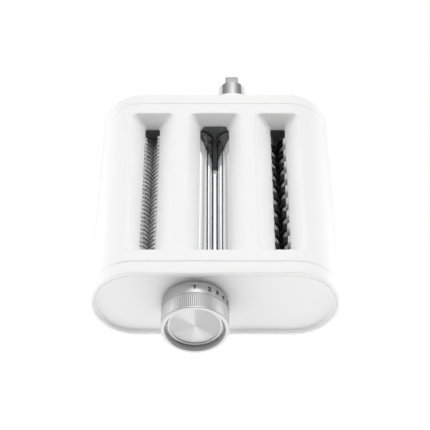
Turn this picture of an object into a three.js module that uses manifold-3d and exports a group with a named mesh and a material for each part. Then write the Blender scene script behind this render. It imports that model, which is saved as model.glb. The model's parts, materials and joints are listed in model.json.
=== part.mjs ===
// Three-in-one pasta attachment for a stand mixer: one pair of smooth sheet rollers with an
// adjustable gap, one pair of fine cutter rolls and one pair of wide cutter rolls, in one housing.
//
// Units are millimetres. Every piece is drawn in the housing's own frame: X across, Y from the
// front rim towards the mixer, Z up, with the origin in the middle of the front rim, at the height
// of all the roll axes. The exported group then stands the part on its flat underside, centred.

import * as THREE from 'three';
import { ConvexGeometry } from 'three/addons/geometries/ConvexGeometry.js';
import { mergeVertices } from 'three/addons/utils/BufferGeometryUtils.js';
import Module from 'manifold-3d';

// ---------------------------------------------------------------- driving dimensions

// Housing
const WIDTH = 200;
const HEIGHT = 73;
const SKIN = 2.6;
const FRONT_SEAM = 13.35;
const REAR_SEAM = 209;
const REAR_FACE = 221.5;
const RIM_WIDTH = 4;
const RIM_DEPTH = 3;
const REAR_BEVEL = 2.4;
const GAP = 0.3;

// Wells in the top and the slots under them
const WELL_FRONT = 26.4;
const WELL_REAR = 195.7;
const SLOT_FRONT = 31;
const SLOT_REAR = 195;
const SLOT_LEVEL = 20;
const SLOT_LIP = 2.4;
const SIDE_WELL = { top: 54.25, topHalf: 19.45, slot: 55, slotHalf: 6.4 };
const MIDDLE_WELL = { top: 0, topHalf: 22.5, slot: -0.2, slotHalf: 12.1 };
const WELL_CORNER = 6;
const SLOT_CORNER = 1.8;

// Outlets in the underside
const COVER = { halfWidth: 71.7, front: 30.3, rear: 199.7, recess: 0.2 };
const COVER_FLANGE = { reach: 3, thickness: 1.6 };
const OUTLET_FRONT = 34;
const OUTLET_REAR = 196.8;
const MIDDLE_OUTLET_HALF = 13;
const SIDE_OUTLET = { from: 47, to: 63 };
const COVER_SCREWS = [[-28, 52], [28, 52], [-28, 178], [28, 178]];

// Frame plates between which everything turns
const BEARING_PLATE = { front: 16.5, rear: 19.5 };
const FRONT_PLATE = { front: 27, rear: 30 };
const REAR_PLATE = { front: 198.4, rear: 201.4 };
const PLATE_HALF_HEIGHT = 30;
const FRONT_PLATE_TOP = 16.8;
const REST_HALF_HEIGHT = 10;
const TIE_ROD = { x: 82, z: 13, radius: 3, headRadius: 5, headLength: 2.4 };
const DRIVE_BUSH = { radius: 8, flangeRadius: 10, flangeThickness: 1.6 };

// Sheet rollers
const ROLLER_RADIUS = 14.5;
const ROLLER = { front: 30.3, rear: 198 };
const FIXED_X = 15.4;
const ADJUSTABLE_X = -15.85;
const JOURNAL_RADIUS = 7;
const HOLLOW_RADIUS = 5.2;
const JOURNAL = { front: 16.9, rear: 202.4 };

// Cutter rolls: two side by side under each outer well
const CUTTER_X = 55;
const CUTTER_HALF_SPACING = 10;
const DISC_RADIUS = 10.5;
const GROOVE_RADIUS = 8.6;
const DISC_CLEARANCE = 0.15;
const CUTTER_SHAFT_RADIUS = 4;
const CUTTER_CORE = { front: 30.4, rear: 198 };
// Stations of the discs: `first` is the middle of the frontmost disc.
const FINE = {
  pitch: 4.9, facets: 7, inner: { first: 33.2, count: 32 }, outer: { first: 35.65, count: 32 },
};
const WIDE = {
  pitch: 15.4, facets: 8, inner: { first: 43.5, count: 10 }, outer: { first: 35.8, count: 11 },
};
const COMB_RAIL = { outset: 0.3, width: 3.6, overDiscs: 0.4 };
const COMB_FINGER = { clearance: 0.25, tip: 5.3, tipBottom: 8.3, tipTop: 9.7, rootBottom: 8.75, root: 0.9 };

// Gears
const TRAIN_TEETH = 20;
const IDLER_TEETH = 24;
const TRAIN_MODULE = (CUTTER_X - CUTTER_HALF_SPACING - FIXED_X) / TRAIN_TEETH;
const TRAIN = { front: 206.4, rear: 213.4 };
const PAIR = { front: 20.6, rear: 26.3 };
const ROLLER_GEAR_TEETH = 14;
const CUTTER_GEAR_TEETH = 12;
const IDLER_AXLE = { radius: 2.5, headRadius: 4.5 };

// Gap adjustment: a spindle through the hollow roller turns an eccentric cam at each end
const GAP_TRAVEL = 2.1;
// The rollers' gears are a little smaller than the rollers' closest centre distance.
const ROLLER_GEAR_MODULE = (FIXED_X - ADJUSTABLE_X - GAP_TRAVEL - 0.2) / ROLLER_GEAR_TEETH;
const CAM_SWING = THREE.MathUtils.degToRad(58.2);
const CAM_THROW = GAP_TRAVEL / (2 * Math.sin(CAM_SWING));
const CAM_RADIUS = 4.2;
const SPINDLE_RADIUS = 2.5;
const SPINDLE_BUSH = { radius: 4.1, flangeRadius: 6, flangeThickness: 0.7 };
const BLOCK = { halfWidth: 9.5, halfHeight: 8.5 };
const FRONT_BLOCK = { front: 13, rear: 19.3 };
const REAR_BLOCK = { front: 198.6, rear: 205.7 };
const CAM_LENGTH = 2.4;
const CAM_POCKET = 3.1;

// Knob
const KNOB_RADIUS = 27;
const KNOB_FRONT = -27.6;
const DIAL_SPLIT = -12.1;
const KNOB_BACK = 0.4;
const KNOB_WALL = 2.8;
const KNOB_WEB = 2.2;
const FACE_DISC = { radius: 22.1, rimWidth: 2.1, recess: 4.3 };
const KNOB_CORE_RADIUS = 7.5;
const KNOB_TURN = THREE.MathUtils.degToRad(116.4);
const STOP_PIN = { orbit: 15, radius: 1.6, reach: 5 };

// Mixer coupling
const BOSS = { radius: 26, face: 238, flangeRadius: 30, bore: 13 };
const BARREL = { radius: 12.7, bore: 9, end: 270.7, flangeRadius: 19 };
const LOCK_HOLE_Y = 252;
const SHAFT_RADIUS = 6;
const SHAFT_FRONT = 14.2;
const NECK_RADIUS = 6.6;
const SHANK = { front: 272, rear: 286, width: 11.7, chamfer: 2.3 };

// ---------------------------------------------------------------- solid and geometry helpers

const wasm = await Module();
wasm.setup();

function toSolid(geometry) {
  const bare = geometry.clone();
  bare.deleteAttribute('normal');
  bare.deleteAttribute('uv');
  const merged = mergeVertices(bare, 1e-4);
  const mesh = new wasm.Mesh({
    numProp: 3,
    vertProperties: new Float32Array(merged.attributes.position.array),
    triVerts: new Uint32Array(merged.index.array),
  });
  return new wasm.Manifold(mesh);
}

function toGeometry(solid) {
  const mesh = solid.getMesh();
  const geometry = new THREE.BufferGeometry();
  geometry.setAttribute('position', new THREE.BufferAttribute(mesh.vertProperties, 3));
  geometry.setIndex(new THREE.BufferAttribute(mesh.triVerts, 1));
  geometry.computeVertexNormals();
  return geometry;
}

function join(...geometries) {
  return toGeometry(geometries.map(toSolid).reduce((whole, piece) => whole.add(piece)));
}

function cut(body, ...tools) {
  return toGeometry(tools.map(toSolid).reduce((whole, tool) => whole.subtract(tool), toSolid(body)));
}

function common(first, second) {
  return toGeometry(toSolid(first).intersect(toSolid(second)));
}

// An outline drawn in X and Z, extruded from one Y station to another.
function prism(shape, front, rear, curveSegments = 12) {
  const settings = { depth: rear - front, bevelEnabled: false, curveSegments };
  return new THREE.ExtrudeGeometry(shape, settings).rotateX(Math.PI / 2).translate(0, rear, 0);
}

function outline(points) {
  return new THREE.Shape(points.map(([x, z]) => new THREE.Vector2(x, z)));
}

function box(x0, x1, y0, y1, z0, z1) {
  const geometry = new THREE.BoxGeometry(x1 - x0, y1 - y0, z1 - z0);
  return geometry.translate((x0 + x1) / 2, (y0 + y1) / 2, (z0 + z1) / 2);
}

// A round bar along Y with its axis at x, z.
function bar(radius, front, rear, x = 0, z = 0, facets = 16) {
  const geometry = new THREE.CylinderGeometry(radius, radius, rear - front, facets);
  return geometry.translate(x, (front + rear) / 2, z);
}

// A solid turned about Y from [radius, y] points that start and end on the axis.
function turned(profile, facets) {
  const points = profile.map(([radius, y]) => new THREE.Vector2(radius, y));
  return new THREE.LatheGeometry(points, facets);
}

// A ring turned about Y from a closed loop of [radius, y] points.
function turnedRing(profile, facets) {
  return turned([...profile, profile[0]], facets);
}

function tube(outer, inner, front, rear, facets = 16) {
  return turnedRing([[inner, front], [outer, front], [outer, rear], [inner, rear]], facets);
}

// The housing's cross-section: a flat-topped outline with a half circle at each side.
function stadiumPoints(inset, steps = 12) {
  const radius = HEIGHT / 2 - inset;
  const centre = (WIDTH - HEIGHT) / 2;
  const points = [];
  for (const side of [1, -1]) {
    for (let i = 0; i <= steps; i += 1) {
      const angle = -Math.PI / 2 + (Math.PI * i) / steps;
      points.push([side * (centre + radius * Math.cos(angle)), side * radius * Math.sin(angle)]);
    }
  }
  return points;
}

function stadium(inset, front, rear, steps) {
  return prism(outline(stadiumPoints(inset, steps)), front, rear);
}

// The convex body through stadium rings, each given as [inset, y].
function stadiumHull(rings) {
  const corners = [];
  for (const [inset, y] of rings) {
    for (const [x, z] of stadiumPoints(inset)) corners.push(new THREE.Vector3(x, y, z));
  }
  return new ConvexGeometry(corners);
}

// ---------------------------------------------------------------- wells

// One level of a well as a rounded rectangle; level 0 is the slot and level 1 the housing's top.
function wellRing(well, side, level, grow) {
  const mix = THREE.MathUtils.lerp;
  const centre = side * mix(well.slot, well.top, level);
  const half = mix(well.slotHalf, well.topHalf, level) + grow;
  const front = mix(SLOT_FRONT, WELL_FRONT, level) - grow;
  const rear = mix(SLOT_REAR, WELL_REAR, level) + grow;
  const radius = mix(SLOT_CORNER, WELL_CORNER, level) + grow;
  const z = mix(SLOT_LEVEL, HEIGHT / 2, level);
  const ring = [];
  const corners = [[1, rear, 0], [-1, rear, 1], [-1, front, 2], [1, front, 3]];
  for (const [direction, y, quarter] of corners) {
    const inward = y === rear ? -1 : 1;
    for (let i = 0; i <= 3; i += 1) {
      const angle = (Math.PI / 2) * (quarter + i / 3);
      const x = centre + direction * (half - radius) + radius * Math.cos(angle);
      ring.push(new THREE.Vector3(x, y + inward * radius + radius * Math.sin(angle), z));
    }
  }
  return ring;
}

function wellHull(well, side, topLevel, grow) {
  const rings = [...wellRing(well, side, 0, grow), ...wellRing(well, side, topLevel, grow)];
  return new ConvexGeometry(rings);
}

function wells() {
  return [[SIDE_WELL, -1], [MIDDLE_WELL, 1], [SIDE_WELL, 1]];
}

// ---------------------------------------------------------------- gears

// Straight-flanked teeth: half a tooth's angle at the root and at the tip follows the pressure angle.
function gearOutline(teeth, module, { addendum, dedendum, backlash }) {
  const pitchRadius = (teeth * module) / 2;
  const slope = Math.tan(THREE.MathUtils.degToRad(20));
  const halfWidth = (module * Math.PI) / 4 - backlash / 2;
  const rows = [
    [pitchRadius - dedendum, halfWidth + slope * dedendum * 0.8],
    [pitchRadius + addendum, halfWidth - slope * addendum * 1.15],
  ];
  const points = [];
  for (let tooth = 0; tooth < teeth; tooth += 1) {
    const middle = (2 * Math.PI * tooth) / teeth;
    for (const [row, side] of [[0, -1], [1, -1], [1, 1], [0, 1]]) {
      const [radius, half] = rows[row];
      const angle = middle + (side * half) / radius;
      points.push([radius * Math.cos(angle), radius * Math.sin(angle)]);
    }
  }
  return points;
}

function circleHole(radius, facets, x = 0, z = 0) {
  const points = [];
  for (let i = 0; i < facets; i += 1) {
    const angle = (-2 * Math.PI * i) / facets;
    points.push(new THREE.Vector2(x + radius * Math.cos(angle), z + radius * Math.sin(angle)));
  }
  return new THREE.Path(points);
}

function gear(teeth, module, tooth, bore, front, rear) {
  const shape = outline(gearOutline(teeth, module, tooth));
  shape.holes.push(circleHole(bore, 12));
  return prism(shape, front, rear);
}

// The turn that puts a gap of one gear opposite a tooth of the other. Directions are measured in
// the XZ plane from +X towards +Z, which is a negative turn about Y.
function meshPhase(teeth, direction, otherTeeth, otherTurn, otherDirection) {
  const otherPitch = (2 * Math.PI) / otherTeeth;
  const otherOffset = (otherDirection + otherTurn) / otherPitch;
  const into = otherOffset - Math.round(otherOffset);
  const pitch = (2 * Math.PI) / teeth;
  return -direction + pitch * (0.5 - into);
}

const TRAIN_TOOTH = { addendum: 0.95 * TRAIN_MODULE, dedendum: 1.2 * TRAIN_MODULE, backlash: 0.42 };
const ROLLER_TOOTH = { addendum: 1.7, dedendum: 2.05, backlash: 0.6 };
const CUTTER_TOOTH = { addendum: 1.35, dedendum: 1.75, backlash: 0.42 };

// ---------------------------------------------------------------- housing pieces

function mainShell() {
  const front = FRONT_SEAM + GAP / 2;
  const rear = REAR_SEAM - GAP / 2;
  const outer = stadium(0, front, rear);
  const hollow = cut(outer, stadium(SKIN, front - 1, rear + 1));
  const slotBox = (well, side, grow, bottom) => {
    const centre = side * well.slot;
    const half = well.slotHalf + grow;
    const top = SLOT_LEVEL + 0.5;
    return box(centre - half, centre + half, SLOT_FRONT - grow, SLOT_REAR + grow, bottom, top);
  };
  const skins = wells().map(([well, side]) => join(
    common(wellHull(well, side, 1, SKIN), outer),
    slotBox(well, side, SKIN - GAP, SLOT_LEVEL - SLOT_LIP),
  ));
  const holes = wells().map(([well, side]) => join(
    wellHull(well, side, 1.1, 0),
    slotBox(well, side, 0, SLOT_LEVEL - SLOT_LIP - 1),
  ));
  const underside = box(
    -COVER.halfWidth - GAP, COVER.halfWidth + GAP,
    COVER.front - GAP, COVER.rear + GAP, -HEIGHT / 2 - 1, -HEIGHT / 4,
  );
  return cut(join(hollow, ...skins, ...plateRests()), ...holes, underside);
}

// Ribs inside the side walls that the frame plates' ends rest against.
function plateRests() {
  const plateEnd = WIDTH / 2 - HEIGHT / 2 + PLATE_HALF_HEIGHT + GAP;
  const wall = WIDTH / 2 - SKIN / 2;
  return [BEARING_PLATE, REAR_PLATE].flatMap(({ front, rear }) => [-1, 1].map((side) => {
    const [inner, outer] = [side * plateEnd, side * wall].sort((a, b) => a - b);
    return box(inner, outer, front - 2, rear + 2, -REST_HALF_HEIGHT, REST_HALF_HEIGHT);
  }));
}

function frontEndCap() {
  const rear = FRONT_SEAM - GAP / 2;
  const body = stadiumHull([[1.2, 0], [0.35, 0.4], [0, 1.3], [0, rear]]);
  const recess = stadiumHull([[RIM_WIDTH, -1], [RIM_WIDTH, RIM_DEPTH - 1], [RIM_WIDTH + 1, RIM_DEPTH]]);
  const inside = stadium(SKIN, RIM_DEPTH + SKIN, rear + 1);
  const spindleHole = bar(SPINDLE_BUSH.radius + GAP, -1, RIM_DEPTH + SKIN + 1, ADJUSTABLE_X, 0, 14);
  return cut(body, recess, inside, spindleHole, stopTrack());
}

// The curved slot that the knob's stop pin runs in, which ends its travel both ways.
function stopTrack() {
  const margin = 0.22;
  const inner = STOP_PIN.orbit - STOP_PIN.radius - 0.5;
  const outer = STOP_PIN.orbit + STOP_PIN.radius + 0.5;
  const start = -Math.PI / 2 - margin;
  const end = -Math.PI / 2 + KNOB_TURN + margin;
  const steps = 10;
  const points = [];
  for (let i = 0; i <= steps; i += 1) {
    const angle = start + ((end - start) * i) / steps;
    points.push([ADJUSTABLE_X + outer * Math.cos(angle), outer * Math.sin(angle)]);
  }
  for (let i = steps; i >= 0; i -= 1) {
    const angle = start + ((end - start) * i) / steps;
    points.push([ADJUSTABLE_X + inner * Math.cos(angle), inner * Math.sin(angle)]);
  }
  return prism(outline(points), 0, RIM_DEPTH + SKIN + 1);
}

function rearEndCap() {
  const front = REAR_SEAM + GAP / 2;
  const body = stadiumHull([
    [0, front], [0, REAR_FACE - REAR_BEVEL], [REAR_BEVEL * 0.3, REAR_FACE - REAR_BEVEL * 0.3],
    [REAR_BEVEL, REAR_FACE],
  ]);
  const inside = stadium(SKIN, front - 1, REAR_FACE - SKIN);
  const bossHole = bar(BOSS.radius + GAP, REAR_FACE - SKIN - 1, REAR_FACE + 1, FIXED_X, 0, 32);
  return cut(body, inside, bossHole);
}

// The cover continues the housing's underside and rests on a flange inside it.
function outletCover() {
  const { halfWidth, front, rear, recess } = COVER;
  const { reach, thickness } = COVER_FLANGE;
  const bottom = -HEIGHT / 2 + recess;
  const flangeInset = SKIN + GAP;
  const layer = (outset, inset, extra) => {
    const ring = cut(
      stadium(outset, front - extra, rear + extra),
      stadium(inset, front - extra - 1, rear + extra + 1),
    );
    const x = halfWidth + extra;
    return common(ring, box(-x, x, front - extra, rear + extra, -HEIGHT / 2, -HEIGHT / 4));
  };
  const body = join(
    layer(recess, flangeInset + 0.2, 0),
    layer(flangeInset, flangeInset + thickness, reach),
  );
  const top = -HEIGHT / 4;
  const opening = (from, to) => box(from, to, OUTLET_FRONT, OUTLET_REAR, bottom - 1, top);
  const screwHoles = COVER_SCREWS.map(([x, y]) => upright(2.3, bottom - 1, top, x, y, 8));
  const sinks = COVER_SCREWS.map(([x, y]) => upright(4, bottom - 1, bottom + 1.7, x, y, 12));
  return cut(
    body,
    opening(-MIDDLE_OUTLET_HALF, MIDDLE_OUTLET_HALF),
    opening(-SIDE_OUTLET.to, -SIDE_OUTLET.from),
    opening(SIDE_OUTLET.from, SIDE_OUTLET.to),
    ...screwHoles,
    ...sinks,
  );
}

function upright(radius, bottom, top, x, y, facets) {
  const geometry = new THREE.CylinderGeometry(radius, radius, top - bottom, facets);
  return geometry.rotateX(Math.PI / 2).translate(x, y, (bottom + top) / 2);
}

function coverScrew() {
  const bottom = -HEIGHT / 2 + 0.4;
  const profile = [[0, bottom], [3.4, bottom], [3.6, bottom + 1.3], [1.9, bottom + 1.3]];
  const shank = [[1.9, bottom + 8], [0, bottom + 8]];
  return turned([...profile, ...shank], 8).rotateX(Math.PI / 2);
}

// ---------------------------------------------------------------- frame pieces

function cutterAxes() {
  const near = CUTTER_X - CUTTER_HALF_SPACING;
  const far = CUTTER_X + CUTTER_HALF_SPACING;
  return [-far, -near, near, far];
}

function tieRodPlaces() {
  return [[-1, -1], [-1, 1], [1, -1], [1, 1]].map(([x, z]) => [x * TIE_ROD.x, z * TIE_ROD.z]);
}

function plateBlank(plate) {
  const inset = HEIGHT / 2 - PLATE_HALF_HEIGHT;
  const blank = stadium(inset, plate.front, plate.rear, 8);
  return cut(blank, ...tieRodPlaces().map(([x, z]) => {
    return bar(TIE_ROD.radius + GAP, plate.front - 1, plate.rear + 1, x, z, 8);
  }));
}

function cutterHoles(plate, radius) {
  return cutterAxes().map((x) => bar(radius, plate.front - 1, plate.rear + 1, x, 0, 10));
}

function blockWindow(plate) {
  const left = ADJUSTABLE_X - BLOCK.halfWidth - GAP;
  const right = ADJUSTABLE_X + GAP_TRAVEL + BLOCK.halfWidth + GAP;
  const half = BLOCK.halfHeight + GAP;
  return box(left, right, plate.front - 1, plate.rear + 1, -half, half);
}

function bearingPlate() {
  const { front, rear } = BEARING_PLATE;
  const bushHole = bar(DRIVE_BUSH.radius + GAP, front - 1, rear + 1, FIXED_X, 0, 14);
  const shaftHoles = cutterHoles(BEARING_PLATE, CUTTER_SHAFT_RADIUS + GAP);
  return cut(plateBlank(BEARING_PLATE), bushHole, blockWindow(BEARING_PLATE), ...shaftHoles);
}

function frontFramePlate() {
  const { front, rear } = FRONT_PLATE;
  const shaftHole = bar(SHAFT_RADIUS + 0.8, front - 1, rear + 1, FIXED_X, 0, 14);
  const middle = ADJUSTABLE_X + GAP_TRAVEL / 2;
  const half = JOURNAL_RADIUS + GAP_TRAVEL / 2 + 0.5;
  const journalHole = bar(half, front - 1, rear + 1, middle, 0, 14);
  const overWells = box(-WIDTH, WIDTH, front - 1, rear + 1, FRONT_PLATE_TOP, HEIGHT);
  const shaftHoles = cutterHoles(FRONT_PLATE, CUTTER_SHAFT_RADIUS + GAP);
  return cut(plateBlank(FRONT_PLATE), shaftHole, journalHole, overWells, ...shaftHoles);
}

function rearFramePlate() {
  const { front, rear } = REAR_PLATE;
  const bushHole = bar(DRIVE_BUSH.radius + GAP, front - 1, rear + 1, FIXED_X, 0, 14);
  const axle = idlerAxis();
  const axleHole = bar(IDLER_AXLE.radius + GAP, front - 1, rear + 1, axle.x, axle.z, 12);
  const shaftHoles = cutterHoles(REAR_PLATE, CUTTER_SHAFT_RADIUS + GAP);
  return cut(plateBlank(REAR_PLATE), bushHole, blockWindow(REAR_PLATE), axleHole, ...shaftHoles);
}

// A long bolt with a head at each end holds the three plates at their distance.
function tieRod() {
  const { radius, headRadius, headLength } = TIE_ROD;
  const front = BEARING_PLATE.front - GAP;
  const rear = REAR_PLATE.rear + GAP;
  return turned([
    [0, front - headLength], [headRadius, front - headLength], [headRadius, front],
    [radius, front], [radius, rear],
    [headRadius, rear], [headRadius, rear + headLength], [0, rear + headLength],
  ], 8);
}

// A flanged bush through a plate, with its flange on the plate's front (-1) or rear (+1) face.
function driveBush(plate, flangeSide) {
  const { radius, flangeRadius, flangeThickness } = DRIVE_BUSH;
  const bore = SHAFT_RADIUS + GAP;
  if (flangeSide < 0) {
    const flangeRear = plate.front - GAP;
    const flangeFront = flangeRear - flangeThickness;
    return turnedRing([
      [bore, flangeFront], [flangeRadius, flangeFront], [flangeRadius, flangeRear],
      [radius, flangeRear], [radius, plate.rear], [bore, plate.rear],
    ], 14);
  }
  const flangeFront = plate.rear + GAP;
  const flangeRear = flangeFront + flangeThickness;
  return turnedRing([
    [bore, plate.front], [radius, plate.front], [radius, flangeFront],
    [flangeRadius, flangeFront], [flangeRadius, flangeRear], [bore, flangeRear],
  ], 14);
}

// ---------------------------------------------------------------- sheet rollers and drive

function fixedRoller() {
  return tube(ROLLER_RADIUS, SHAFT_RADIUS + GAP, ROLLER.front, ROLLER.rear, 24);
}

function adjustableRoller() {
  return turnedRing([
    [HOLLOW_RADIUS, JOURNAL.front], [JOURNAL_RADIUS, JOURNAL.front],
    [JOURNAL_RADIUS, ROLLER.front], [ROLLER_RADIUS, ROLLER.front],
    [ROLLER_RADIUS, ROLLER.rear], [JOURNAL_RADIUS, ROLLER.rear],
    [JOURNAL_RADIUS, JOURNAL.rear], [HOLLOW_RADIUS, JOURNAL.rear],
  ], 24);
}

function driveShaft() {
  const body = turned([
    [0, SHAFT_FRONT], [SHAFT_RADIUS, SHAFT_FRONT], [SHAFT_RADIUS, TRAIN.rear + 1],
    [NECK_RADIUS, TRAIN.rear + 1], [NECK_RADIUS, SHANK.front + 0.5], [0, SHANK.front + 0.5],
  ], 20);
  const half = SHANK.width / 2;
  const flat = half - SHANK.chamfer;
  const corners = [[half, flat], [flat, half], [-flat, half], [-half, flat]];
  const section = [...corners, ...corners.map(([x, z]) => [-x, -z])];
  const shank = prism(outline(section), SHANK.front, SHANK.rear);
  const nose = turned([
    [0, SHANK.front - 1], [12, SHANK.front - 1], [12, SHANK.rear - 1.6],
    [half - 0.4, SHANK.rear + 0.01], [0, SHANK.rear + 0.01],
  ], 24);
  return join(body, common(shank, nose));
}

function idlerAxis() {
  const near = -CUTTER_X + CUTTER_HALF_SPACING;
  const reach = (TRAIN_MODULE * (TRAIN_TEETH + IDLER_TEETH)) / 2;
  const half = (FIXED_X - near) / 2;
  return { x: (FIXED_X + near) / 2, z: -Math.sqrt(reach * reach - half * half) };
}

function idlerAxle() {
  const { radius, headRadius } = IDLER_AXLE;
  const front = REAR_PLATE.front - 0.2;
  const headFront = TRAIN.rear + GAP;
  const headRear = TRAIN.rear + 1.6;
  return turned([
    [0, front], [radius, front], [radius, headFront],
    [headRadius, headFront], [headRadius, headRear], [0, headRear],
  ], 12);
}

// ---------------------------------------------------------------- cutter rolls

// Discs alternate with grooves just wide enough for the other roll's discs.
function cutterRoll({ pitch, facets }, { first, count }, rearEnd) {
  const disc = pitch / 2 - DISC_CLEARANCE;
  const profile = [
    [0, BEARING_PLATE.front], [CUTTER_SHAFT_RADIUS, BEARING_PLATE.front],
    [CUTTER_SHAFT_RADIUS, CUTTER_CORE.front], [GROOVE_RADIUS, CUTTER_CORE.front],
  ];
  for (let i = 0; i < count; i += 1) {
    const start = first + i * pitch - disc / 2;
    const end = start + disc;
    profile.push([GROOVE_RADIUS, start], [DISC_RADIUS, start], [DISC_RADIUS, end], [GROOVE_RADIUS, end]);
  }
  profile.push(
    [GROOVE_RADIUS, CUTTER_CORE.rear], [CUTTER_SHAFT_RADIUS, CUTTER_CORE.rear],
    [CUTTER_SHAFT_RADIUS, rearEnd], [0, rearEnd],
  );
  return turned(profile, facets);
}

// A comb closes one long side of the slot: a rail under the slot's lip, and fingers that reach into
// its roll's grooves, which lie opposite the discs of the other roll. `side` is +1 where the rail
// lies on the +X side of the slot.
function cutterComb({ pitch }, { first, count }, side) {
  const railInner = SIDE_WELL.slotHalf + COMB_RAIL.outset;
  const railTop = SLOT_LEVEL - SLOT_LIP - GAP;
  const railBottom = DISC_RADIUS + COMB_RAIL.overDiscs;
  const [x0, x1] = [side * railInner, side * (railInner + COMB_RAIL.width)].sort((a, b) => a - b);
  const rail = box(x0, x1, SLOT_FRONT, WELL_REAR, railBottom, railTop);
  const root = railInner + COMB_FINGER.root;
  const section = [
    [side * COMB_FINGER.tip, COMB_FINGER.tipBottom], [side * COMB_FINGER.tip, COMB_FINGER.tipTop],
    [side * root, railBottom + 0.5], [side * root, COMB_FINGER.rootBottom],
  ];
  const half = (pitch / 2 + DISC_CLEARANCE) / 2 - COMB_FINGER.clearance;
  const fingers = [];
  for (let i = 0; i < count; i += 1) {
    const middle = first + i * pitch;
    fingers.push(prism(outline(section), middle - half, middle + half));
  }
  return join(rail, ...fingers);
}

// ---------------------------------------------------------------- gap adjustment

function bearingBlock(block, pocketAtFront) {
  const body = box(
    -BLOCK.halfWidth, BLOCK.halfWidth, block.front, block.rear, -BLOCK.halfHeight, BLOCK.halfHeight,
  );
  const pocketFront = pocketAtFront ? block.front - 1 : block.rear - CAM_POCKET;
  const pocketRear = pocketAtFront ? block.front + CAM_POCKET : block.rear + 1;
  const halfWidth = CAM_RADIUS + 0.15;
  const halfHeight = CAM_RADIUS + CAM_THROW + 0.3;
  const offset = -CAM_THROW * Math.sin(CAM_SWING);
  const pocket = box(
    offset - halfWidth, offset + halfWidth, pocketFront, pocketRear, -halfHeight, halfHeight,
  );
  return cut(body, pocket, bar(JOURNAL_RADIUS + GAP, block.front - 1, block.rear + 1, 0, 0, 20));
}

// At rest the cam's centre lies to the -X side of the spindle and below it.
function cam(front) {
  const x = -CAM_THROW * Math.sin(CAM_SWING);
  const z = -CAM_THROW * Math.cos(CAM_SWING);
  const points = [];
  for (let i = 0; i < 20; i += 1) {
    const angle = (2 * Math.PI * i) / 20;
    points.push([x + CAM_RADIUS * Math.cos(angle), z + CAM_RADIUS * Math.sin(angle)]);
  }
  const shape = outline(points);
  shape.holes.push(circleHole(SPINDLE_RADIUS + GAP, 10));
  return prism(shape, front, front + CAM_LENGTH);
}

function adjusterSpindle() {
  const front = KNOB_FRONT + FACE_DISC.recess + 4.2;
  return bar(SPINDLE_RADIUS, front, REAR_BLOCK.rear + 0.6, 0, 0, 10);
}

function spindleBush() {
  const { radius, flangeRadius, flangeThickness } = SPINDLE_BUSH;
  const bore = SPINDLE_RADIUS + GAP;
  const flangeRear = RIM_DEPTH - 0.2;
  const flangeFront = flangeRear - flangeThickness;
  const rear = RIM_DEPTH + SKIN + 1.5;
  return turnedRing([
    [bore, flangeFront], [flangeRadius, flangeFront], [flangeRadius, flangeRear],
    [radius, flangeRear], [radius, rear], [bore, rear],
  ], 16);
}

// ---------------------------------------------------------------- knob

// The numbered ring: a cup that is open to the front, with a short sleeve around the spindle.
function dialRing() {
  const inner = KNOB_RADIUS - KNOB_WALL;
  const bore = SPINDLE_RADIUS + GAP;
  return turnedRing([
    [bore, DIAL_SPLIT + 3], [KNOB_CORE_RADIUS, DIAL_SPLIT + 3],
    [KNOB_CORE_RADIUS, KNOB_BACK - KNOB_WEB], [inner, KNOB_BACK - KNOB_WEB],
    [inner, DIAL_SPLIT + 0.15], [KNOB_RADIUS, DIAL_SPLIT + 0.15],
    [KNOB_RADIUS - 0.15, KNOB_BACK - 0.5], [KNOB_RADIUS - 0.5, KNOB_BACK], [bore, KNOB_BACK],
  ], 32);
}

function knobGrip() {
  const lip = KNOB_RADIUS - KNOB_WALL;
  const seat = KNOB_FRONT + FACE_DISC.recess + 2.4;
  return turnedRing([
    [lip, KNOB_FRONT], [KNOB_RADIUS - 0.5, KNOB_FRONT], [KNOB_RADIUS, KNOB_FRONT + 0.6],
    [KNOB_RADIUS, DIAL_SPLIT - 0.15], [lip - 1.5, DIAL_SPLIT - 0.15], [lip - 1.5, seat + 2],
    [FACE_DISC.radius - 5, seat + 2], [FACE_DISC.radius - 5, seat], [lip, seat],
  ], 32);
}

function knobFaceDisc() {
  const rim = KNOB_FRONT + FACE_DISC.recess;
  const radius = FACE_DISC.radius;
  const inner = radius - FACE_DISC.rimWidth;
  return turned([
    [0, rim + 0.5], [inner - 0.6, rim + 0.5], [inner, rim],
    [radius - 0.5, rim], [radius, rim + 0.5], [radius, rim + 2.1], [0, rim + 2.1],
  ], 32);
}

// The stop pin stands in the knob's back plate and runs in the cap's curved slot.
function stopPin() {
  return bar(STOP_PIN.radius, KNOB_BACK + GAP, KNOB_BACK + GAP + STOP_PIN.reach, 0, -STOP_PIN.orbit, 10);
}

function springCollar() {
  const front = KNOB_FRONT + FACE_DISC.recess + 4.6;
  return tube(5.6, SPINDLE_RADIUS + GAP, front, front + 1.2, 16);
}

class SpringCurve extends THREE.Curve {
  constructor(radius, front, rear, turns) {
    super();
    Object.assign(this, { radius, front, rear, turns });
  }

  getPoint(t, target = new THREE.Vector3()) {
    const angle = 2 * Math.PI * this.turns * t;
    const y = THREE.MathUtils.lerp(this.front, this.rear, t);
    return target.set(this.radius * Math.cos(angle), y, this.radius * Math.sin(angle));
  }
}

function knobSpring() {
  const front = KNOB_FRONT + FACE_DISC.recess + 6.5;
  const rear = DIAL_SPLIT + 2.2;
  const wire = new THREE.Shape();
  wire.absarc(0, 0, 0.45, 0, 2 * Math.PI);
  return new THREE.ExtrudeGeometry(wire, {
    extrudePath: new SpringCurve(4.2, front, rear, 3), steps: 30, curveSegments: 2, bevelEnabled: false,
  });
}

// ---------------------------------------------------------------- mixer coupling

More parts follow.
